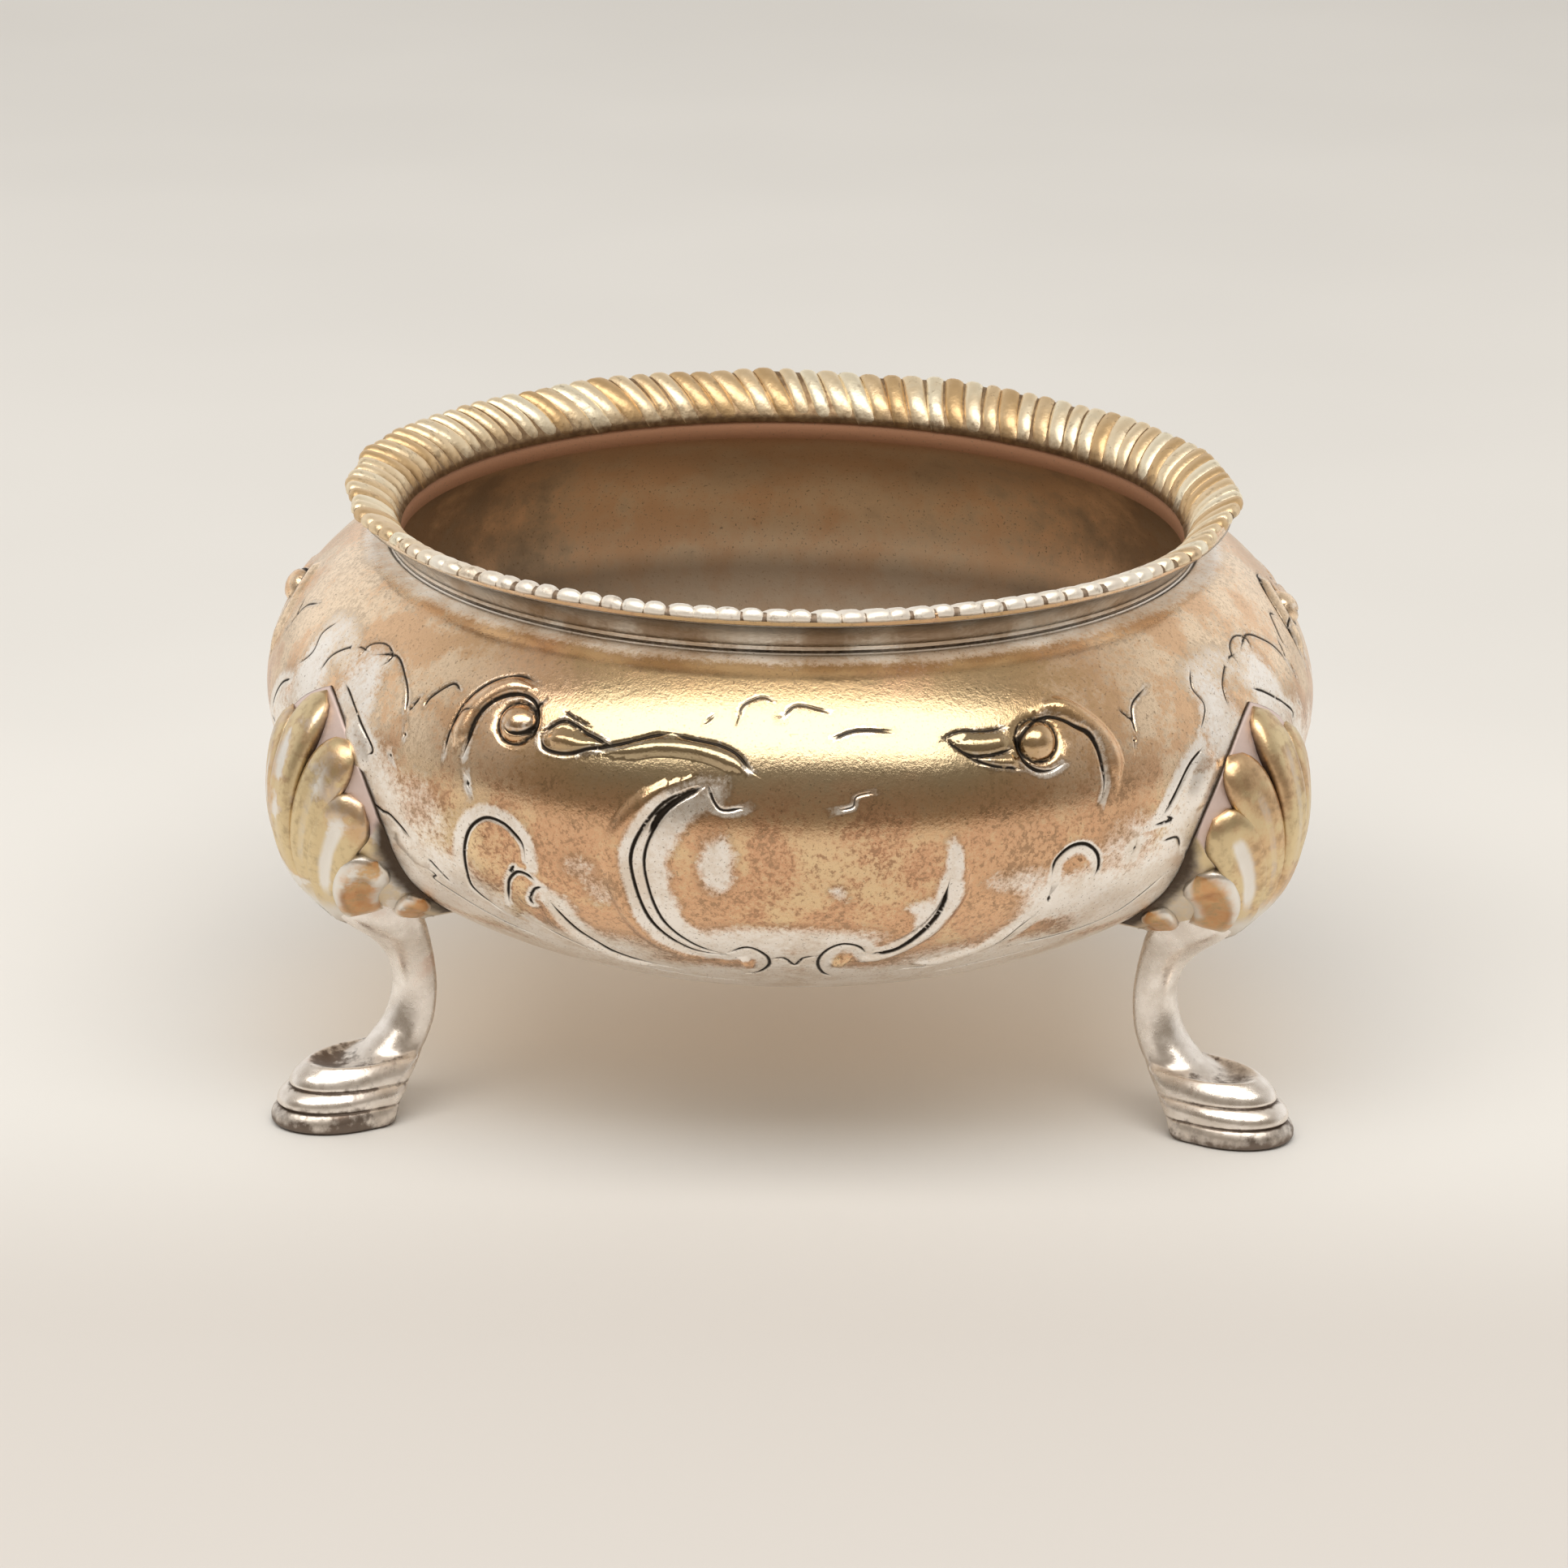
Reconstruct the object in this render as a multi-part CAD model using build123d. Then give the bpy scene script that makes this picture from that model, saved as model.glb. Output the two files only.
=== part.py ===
from build123d import *
import math
import os

# An open salt on three legs: a raised squat bowl with a flared lip, a gadrooned border
# soldered on the lip, three cast cabriole legs and a cast shell over each knee.
# Millimetres, +Z up, the origin on the bowl's axis at the floor, the front towards -Y.

# Bowl, raised from sheet
bulge_radius = 40.0        # widest circle, outside
bulge_height = 29.2        # that circle above the floor
belly_depth = 20.6         # from that circle down to the underside
shoulder_rise = 19.6       # upper half-axis of the oval that the shoulder follows
shoulder_width = 9.4       # from the widest circle in to the crease of the neck
shoulder_round = 3.4       # width of the stretch that rounds over to the crease
shoulder_top = 1.1         # rise of that stretch
lip_flare = 3.2            # lip edge outside the crease
lip_rise = 2.9             # lip edge above the crease
neck_steepness = 75.0      # degrees at which the neck leaves the crease
wall = 0.8

# Gadrooned border on the lip's upper face
gadroons = 120
gadroon_slant = 30.0       # degrees from the radius
border_thickness = 0.75
border_seat = 0.15         # solder under the border, at its corners
border_toe = 0.25          # thickness at its two edges
border_reach = 61.0        # degrees of the lip's curve that it covers
border_overhang = 2.5      # degrees past the lip's edge
groove_depth = 0.4
lobe_share = 0.62          # share of the pitch that is lobe, not groove

# Legs and feet
legs = 3
first_leg = -150.0         # degrees from +X
solder_gap = 0.05
foot_height = 5.4          # where the instep meets the ankle
ankle_width = 3.7
ankle_depth = 3.4          # from its flat back to its front
ankle_inset = 9.2          # the ankle's flat back, inside the bowl's widest circle
knee_drop = 14.7           # lower end of the knee, below the bowl's widest circle
knee_top_drop = 5.2        # upper end of the knee under its shell
knee_width = 6.6
knee_reach = 2.2           # front of the knee's upper end, outside the widest circle
knee_back_step = 2.4       # back of the knee's upper end, outside the ankle's back
sole_length = 9.7
sole_width = 8.5
toe_reach = 4.1            # tip of the sole, outside the bowl's widest circle
sole_plate = 0.9           # thin plate under the foot
foot_steps = 3             # ridges above the plate
foot_step_back = 1.15      # each ridge stands this much behind the one below
instep_dish = 0.7          # hollow in the top of the foot
instep_rim = 0.8           # width of the rim round it

# Knee shells
ribs_per_side = 4          # each side of the middle rib
shell_spread = 68.0        # degrees from upright to the last rib
shell_height = 17.6        # length of the middle rib
shell_foot = 6.0           # length of the last ribs
shell_fullness = 0.9       # how far the outline bows out between them
shell_root_drop = 13.2     # where the ribs meet, below the widest circle
shell_root_inset = 1.1     # that point, inside the widest circle
shell_end_height = 1.3     # ends of the ribs above the bowl
shell_rise = 5.3           # how far the middle rib bows out
rib_groove = 0.7

# Heights and radii that follow
neck_radius = bulge_radius - shoulder_width
shoulder_end = neck_radius + shoulder_round


def oval_height(radius, half_axis):
    """Rise of the bowl's oval at a radius, for its upper or lower half-axis."""
    return half_axis * math.sqrt(1 - (radius / bulge_radius) ** 2)


def bowl_radius(z):
    """Outer radius of the oval at a height."""
    half_axis = shoulder_rise if z > bulge_height else belly_depth
    return bulge_radius * math.sqrt(max(0.0, 1 - ((z - bulge_height) / half_axis) ** 2))


slant_offset = (neck_radius + lip_flare / 2) * math.sin(math.radians(gadroon_slant))
crease_height = bulge_height + oval_height(shoulder_end, shoulder_rise) + shoulder_top
crease = Vector(neck_radius, crease_height)
lip_edge = Vector(neck_radius + lip_flare, crease_height + lip_rise)


def polar(centre, radius, degrees):
    """Point at an angle and distance from a centre."""
    turn = math.radians(degrees)
    return Vector(centre.X + radius * math.cos(turn), centre.Y + radius * math.sin(turn))


# The neck and lip are one arc: its centre, radius and end angles
chord = lip_edge - crease
chord_angle = math.degrees(math.atan2(chord.Y, chord.X))
half_turn = neck_steepness - chord_angle
lip_arc_radius = chord.length / (2 * math.sin(math.radians(half_turn)))
lip_centre = polar(crease, lip_arc_radius, neck_steepness - 90)
lip_start_angle = neck_steepness + 90
lip_end_angle = lip_start_angle - 2 * half_turn


def oval_arc(inset, half_axis, start, size):
    """Part of the bowl's oval in the profile plane, with the sheet's thickness taken off."""
    centre = (0, bulge_height)
    return EllipticalCenterArc(centre, bulge_radius - inset, half_axis - inset, start, arc_size=size)


def oval_angle(radius, inset):
    """Ellipse parameter, in degrees, where the shoulder reaches a radius."""
    return math.degrees(math.acos(radius / (bulge_radius - inset)))


def shoulder_and_belly(inset):
    """The oval from the axis under the bowl to the end of the shoulder, and the round to the crease."""
    end_radius = shoulder_end - inset
    belly = oval_arc(inset, belly_depth, -90, 90)
    shoulder = oval_arc(inset, shoulder_rise, 0, oval_angle(end_radius, inset))
    return belly, shoulder


def make_bowl():
    """Raised bowl: the outer line, the lip's edge, the inner line, turned about the axis."""
    inner_crease = crease - Vector(wall, wall)
    upper_start = polar(lip_centre, lip_arc_radius + wall, lip_start_angle)
    upper_end = polar(lip_centre, lip_arc_radius + wall, lip_end_angle)
    upper_middle = polar(lip_centre, lip_arc_radius + wall, (lip_start_angle + lip_end_angle) / 2)
    under_middle = polar(lip_centre, lip_arc_radius, (lip_start_angle + lip_end_angle) / 2)
    with BuildPart() as bowl:
        with BuildSketch(Plane.XZ):
            with BuildLine():
                outer_belly, outer_shoulder = shoulder_and_belly(0)
                TangentArc(outer_shoulder @ 1, crease, tangent=outer_shoulder % 1)
                ThreePointArc(crease, under_middle, lip_edge)
                Line(lip_edge, upper_end)
                ThreePointArc(upper_end, upper_middle, upper_start)
                Line(upper_start, inner_crease)
                inner_belly, inner_shoulder = shoulder_and_belly(wall)
                TangentArc(inner_shoulder @ 1, inner_crease, tangent=inner_shoulder % 1)
                Line(outer_belly @ 0, inner_belly @ 0)
            make_face()
        revolve(axis=Axis.Z)
    return bowl.part


def bowl_space():
    """The bowl's oval, filled and grown by the solder gap, to cut what is soldered on it."""
    with BuildPart() as space:
        with BuildSketch(Plane.XZ):
            with BuildLine():
                below = oval_arc(-solder_gap, belly_depth, -90, 90)
                above = oval_arc(-solder_gap, shoulder_rise, 0, 90)
                Line(above @ 1, below @ 0)
            make_face()
        revolve(axis=Axis.Z)
    return space.part


def border_section(turn, sunk):
    """Cross-section of the border in an upright plane slanted from the radius."""
    face = lip_arc_radius + wall
    outer = lip_end_angle - border_overhang
    inner = lip_end_angle + border_reach
    middle = (outer + inner) / 2
    crown = border_thickness - (groove_depth if sunk else 0)
    quarter = (inner - outer) / 4
    corners = [
        (inner, border_seat),
        (inner, border_toe),
        (middle + quarter, crown * 0.8 + border_seat),
        (middle - quarter * 0.4, crown + border_seat),
        (outer + quarter * 0.5, crown * 0.85 + border_seat),
        (outer, border_toe),
        (outer, border_seat),
        (middle - quarter, border_seat),
        (middle, border_seat),
        (middle + quarter, border_seat),
    ]
    line = [polar(lip_centre, face + lift, angle) for angle, lift in corners]
    points = []
    for p in line:
        across = slant_offset
        outward = math.sqrt(p.X**2 - across**2)
        points.append(Vector(outward, -across, p.Y).rotate(Axis.Z, turn + gadroon_slant))
    return Wire.make_polygon(points, close=True)


def make_border():
    """Gadrooned border: a ruled loft through lobe and groove sections, in two half rings."""
    pitch = 360 / gadroons
    halves = []
    for half in range(2):
        sections = []
        for i in range(gadroons // 2):
            start = half * 180 + i * pitch
            sections.append(border_section(start, sunk=True))
            sections.append(border_section(start + pitch * (1 - lobe_share) / 2, sunk=False))
            sections.append(border_section(start + pitch * (1 + lobe_share) / 2, sunk=False))
        sections.append(border_section(half * 180 + 180, sunk=True))
        halves.append(Solid.make_loft(sections, ruled=True))
    return halves[0].fuse(halves[1])


def d_outline(back, front, width, back_width, z):
    """Flat-backed outline at a height: a straight back and one curve round the front."""
    half = width / 2
    half_back = back_width / 2
    middle = (back + front) / 2
    bend = middle + (front - middle) * math.cos(math.pi / 4)
    half_bend = half * math.sin(math.pi / 4)
    right = [(back, half_back, z), (middle, half, z), (bend, half_bend, z)]
    left = [(x, -y, z) for x, y, z in reversed(right)]
    curve = Spline(*right, (front, 0, z), *left)
    return Wire([curve, Line(left[-1], right[0])])


def leg_blank(grow):
    """Cabriole leg from instep to knee, a loft through flat-backed sections."""
    ankle_back = bulge_radius - ankle_inset
    ankle_front = ankle_back + ankle_depth
    instep = foot_height - instep_dish
    knee_low = bulge_height - knee_drop
    knee_high = bulge_height - knee_top_drop
    knee_front = bulge_radius + knee_reach
    shin = knee_low - instep
    knee = knee_high - knee_low
    sections = [
        (instep, ankle_back + 0.5, ankle_front + 2.6, ankle_width + 1.8),
        (instep + shin * 0.34, ankle_back, ankle_front, ankle_width),
        (instep + shin * 0.67, ankle_back, ankle_front + 0.1, ankle_width),
        (knee_low, ankle_back + 0.4, ankle_front + 2.0, ankle_width + 1.2),
        (knee_low + knee * 0.5, ankle_back + knee_back_step * 0.6, knee_front - 2.4, knee_width),
        (knee_high, ankle_back + knee_back_step, knee_front, knee_width),
    ]
    wires = []
    for z, back, front, width in sections:
        top = z + grow if z == knee_high else z
        back_width = width * 0.85 + 2 * grow
        wires.append(d_outline(back - grow, front + grow, width + 2 * grow, back_width, top))
    return Solid.make_loft(wires)


def foot_outline(z, trim):
    """Outline of the foot at a height, its toe and sides drawn in by the trim."""
    toe = bulge_radius + toe_reach
    heel = toe - sole_length
    ankle_back = bulge_radius - ankle_inset + 0.5
    back = heel + (ankle_back - heel) * z / foot_height
    width = sole_width - trim * 1.1
    return d_outline(back, toe - trim, width, width * 0.72, z)


def foot_block():
    """Hoof foot: a thin plate, stepped ridges set back one from another, and a dished top."""
    step_height = (foot_height - sole_plate) / foot_steps
    levels = [(0.0, sole_plate, 0.0)]
    for i in range(foot_steps):
        bottom = sole_plate + i * step_height
        levels.append((bottom, bottom + step_height, (i + 0.45) * foot_step_back))
    slope = 0.45
    blocks = []
    for bottom, top, trim in levels:
        outlines = [foot_outline(bottom, trim), foot_outline(top, trim + slope)]
        blocks.append(Solid.make_loft(outlines, ruled=True))
    rim = levels[-1][2] + slope + instep_rim
    dish = Solid.make_loft(
        [foot_outline(foot_height - instep_dish, rim + instep_dish * 2), foot_outline(foot_height, rim)],
        ruled=True,
    )
    return blocks[0].fuse(*blocks[1:]).cut(dish)


def make_leg(space):
    """One leg along +X, its knee cut to lie on the bowl."""
    return leg_blank(0).fuse(foot_block()).cut(space)


def rib_length(angle):
    """Length of the shell from its root at an angle from upright."""
    share = abs(angle) / shell_spread
    bow = shell_fullness * math.sin(math.pi * share)
    return shell_height + (shell_foot - shell_height) * share + bow


def rib_profile(angle, length, sunk):
    """Section of the shell in the plane that holds the root's axis at an angle from upright."""
    root_z = bulge_height - shell_root_drop
    root_n = bulge_radius - shell_root_inset
    lean = math.radians(angle)
    end_t = length * math.sin(lean)
    end_z = root_z + length * math.cos(lean)
    end_n = math.sqrt(bowl_radius(end_z) ** 2 - end_t**2) + shell_end_height
    bow = shell_rise * math.cos(lean) ** 1.5
    base = bulge_radius - ankle_inset - shell_root_inset

    def crown(share):
        bend = 1 - abs(2 * share - 1) ** 2.3
        drop = rib_groove * min(1.0, 2 * share) if sunk else 0
        return root_n + (end_n - root_n) * share + bow * bend - drop

    line = [(0.08, base)] + [(share, crown(share)) for share in (0.08, 0.3, 0.55, 0.78, 0.93)]
    line += [(1.0, crown(1.0) - shell_end_height * 0.6), (1.0, base)]
    points = [(n, -share * end_t, root_z + share * length * math.cos(lean)) for share, n in line]
    return Wire.make_polygon(points, close=True)


def make_shell(space):
    """One knee shell along +X: a fan of ribs lofted about the root, cut to the bowl and the leg."""
    pitch = shell_spread / ribs_per_side
    groove_length = 0.94
    sections = []
    for rib in range(-ribs_per_side, ribs_per_side + 1):
        groove = (rib - 0.5) * pitch
        length = rib_length(rib * pitch)
        sections.append(rib_profile(groove, rib_length(groove) * groove_length, True))
        sections.append(rib_profile((rib - 0.25) * pitch, length, False))
        sections.append(rib_profile((rib + 0.25) * pitch, length, False))
    groove = (ribs_per_side + 0.5) * pitch
    sections.append(rib_profile(groove, rib_length(groove) * groove_length, True))
    fan = Solid.make_loft(sections, ruled=True)
    depth = 2 * knee_back_step
    middle = bulge_radius - ankle_inset + (knee_back_step - depth) / 2
    behind_knee = Pos(middle, 0, bulge_height - knee_drop) * Box(depth, knee_width * 0.85, shell_height)
    return fan.cut(space, leg_blank(solder_gap), behind_knee)


def side_name(turn):
    """Plain name for a leg's place: front is -Y and left is -X."""
    angle = math.radians(turn)
    if math.sin(angle) > 0.5:
        return "back"
    return "front_right" if math.cos(angle) > 0 else "front_left"


os.makedirs("parts", exist_ok=True)
bowl_cutter = bowl_space()
leg = make_leg(bowl_cutter)
shell = make_shell(bowl_cutter)
export_step(make_bowl(), "parts/bowl.step")
export_step(make_border(), "parts/gadroon_border.step")
for number in range(legs):
    place = first_leg + number * 360 / legs
    export_step(leg.rotate(Axis.Z, place), f"parts/leg_{side_name(place)}.step")
    export_step(shell.rotate(Axis.Z, place), f"parts/shell_{side_name(place)}.step")
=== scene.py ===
import math

import bpy
import numpy as np
from mathutils import Matrix, Vector, geometry


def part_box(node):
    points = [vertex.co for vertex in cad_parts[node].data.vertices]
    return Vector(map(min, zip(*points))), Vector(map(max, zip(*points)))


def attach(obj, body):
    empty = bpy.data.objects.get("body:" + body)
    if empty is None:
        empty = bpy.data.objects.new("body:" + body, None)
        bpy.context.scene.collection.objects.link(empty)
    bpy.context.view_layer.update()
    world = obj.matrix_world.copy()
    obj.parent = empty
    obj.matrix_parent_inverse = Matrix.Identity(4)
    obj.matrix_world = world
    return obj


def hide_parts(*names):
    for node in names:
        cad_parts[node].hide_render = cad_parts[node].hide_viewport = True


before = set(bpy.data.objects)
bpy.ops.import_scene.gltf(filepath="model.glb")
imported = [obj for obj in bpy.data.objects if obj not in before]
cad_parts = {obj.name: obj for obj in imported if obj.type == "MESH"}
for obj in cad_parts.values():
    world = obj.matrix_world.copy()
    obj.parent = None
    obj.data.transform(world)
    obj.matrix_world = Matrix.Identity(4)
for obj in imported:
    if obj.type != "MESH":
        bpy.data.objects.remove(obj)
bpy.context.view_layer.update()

# Shapes are worked out in millimetres and scaled as they become meshes.
MM = 0.001

# The bowl's oval, as the solids have it
bulge_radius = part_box("bowl")[1].x / MM
bulge_height = 29.2
belly_depth = 20.6
shoulder_rise = 19.6
shoulder_end = 34.0
shoulder_top = 1.1
neck_radius = 30.6
wall = 0.8
panels = 3
panel_turn = 360.0 / panels
panel_half = panel_turn / 2

# The neck and lip are one arc
lip_centre = np.array([34.45, 39.57])
lip_arc = 3.99
lip_start = 165.0
lip_end = 106.5

# Degrees round the axis at which each leg and its shell stand
leg_turns = {"front_left": -150.0, "front_right": -30.0, "back": 90.0}


# Meshes

def make_piece(name, points, faces, finish, marks=None, normals=None):
    """Mesh object at the origin from points in millimetres, with its finish and its painted marks."""
    mesh = bpy.data.meshes.new(name)
    mesh.from_pydata((np.asarray(points) * MM).tolist(), [], faces)
    mesh.polygons.foreach_set("use_smooth", [True] * len(mesh.polygons))
    for mark, values in (marks or {}).items():
        layer = mesh.attributes.new(mark, "FLOAT", "POINT")
        layer.data.foreach_set("value", np.asarray(values, dtype=np.float32))
    mesh.materials.append(finish)
    mesh.update()
    if normals is not None:
        mesh.normals_split_custom_set_from_vertices(np.asarray(normals).tolist())
    piece = bpy.data.objects.new(name, mesh)
    bpy.context.scene.collection.objects.link(piece)
    return piece


def grid_faces(rows, columns, wrap, start=0):
    """Quads between rows of points, each row closed on itself where it wraps."""
    faces = []
    for low in range(start, start + (rows - 1) * columns, columns):
        high = low + columns
        for c in range(columns if wrap else columns - 1):
            d = (c + 1) % columns
            faces.append((low + c, low + d, high + d, high + c))
    return faces


def tube_faces(rings, columns):
    """Quads of a tube through closed rings, and a face over each end."""
    last = (rings - 1) * columns
    ends = [tuple(range(columns))[::-1], tuple(range(last, last + columns))]
    return grid_faces(rings, columns, True) + ends


def revolved(line, turn):
    """A profile of radius and height at each angle round the axis: rows along it, columns around."""
    out = line[:, 0]
    up = np.repeat(line[:, 1:], len(turn), 1)
    return np.stack([np.outer(out, np.cos(turn)), np.outer(out, np.sin(turn)), up], -1)


def turned(points, degrees):
    """Points turned round the axis."""
    return np.asarray(points) @ np.array(Matrix.Rotation(math.radians(degrees), 3, "Z")).T


def unit(vectors):
    """Vectors scaled to length 1."""
    return vectors / np.linalg.norm(vectors, axis=-1, keepdims=True)


def ease(low, high, value):
    """Smooth step from 0 to 1 as a value goes from low to high."""
    t = np.clip((value - low) / (high - low), 0, 1)
    return t * t * (3 - 2 * t)


def smooth_rows(rows, steps):
    """Catmull-Rom rows between key rows of numbers."""
    keys = np.array(rows, dtype=float)
    ends = np.vstack([2 * keys[0] - keys[1], keys, 2 * keys[-1] - keys[-2]])
    out = []
    for i in range(len(keys) - 1):
        a, b, c, d = ends[i:i + 4]
        for k in range(steps):
            t = k / steps
            bend = (2 * a - 5 * b + 4 * c - d) * t ** 2 + (-a + 3 * b - 3 * c + d) * t ** 3
            out.append(0.5 * (2 * b + (c - a) * t + bend))
    out.append(keys[-1])
    return np.array(out)


# The bowl's surface

def half_axis(high):
    """The oval's upright half-axis, above its widest circle or below it."""
    return np.where(high > 0, shoulder_rise, belly_depth)


def oval_place(around, up):
    """Points on the bowl's oval from degrees around, to the right of the front, and the oval's angle."""
    a, e = np.radians(around), np.radians(up)
    out = bulge_radius * np.cos(e)
    return np.stack([out * np.sin(a), -out * np.cos(a), bulge_height + half_axis(e) * np.sin(e)], -1)


def oval_facing(around, up):
    """Outward normals of the oval at the same places."""
    a, e = np.radians(around), np.radians(up)
    out = np.cos(e) / bulge_radius
    return unit(np.stack([out * np.sin(a), -out * np.cos(a), np.sin(e) / half_axis(e)], -1))


def oval_angles(place):
    """Degrees around and oval angle of points near the oval."""
    around = np.degrees(np.arctan2(place[:, 0], -place[:, 1]))
    high = place[:, 2] - bulge_height
    flat = np.hypot(place[:, 0], place[:, 1]) / bulge_radius
    return around, np.degrees(np.arctan2(high / half_axis(high), flat))


def oval_slope(up, inset):
    """Direction up the shoulder's profile at an oval angle, outside or at an inset from there."""
    e = math.radians(up)
    return unit(np.array([-(bulge_radius - inset) * math.sin(e), (shoulder_rise - inset) * math.cos(e)]))


def bowl_radius(z):
    """Outer radius of the oval at a height."""
    high = np.asarray(z) - bulge_height
    return bulge_radius * np.sqrt(np.maximum(0, 1 - (high / half_axis(high)) ** 2))


def sheet_axes(facing):
    """Level and rising directions along the bowl's surface."""
    level = unit(np.cross([0, 0, 1], facing))
    return level, np.cross(facing, level)


# The chased ornament of one panel, in degrees around and oval angle

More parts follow.
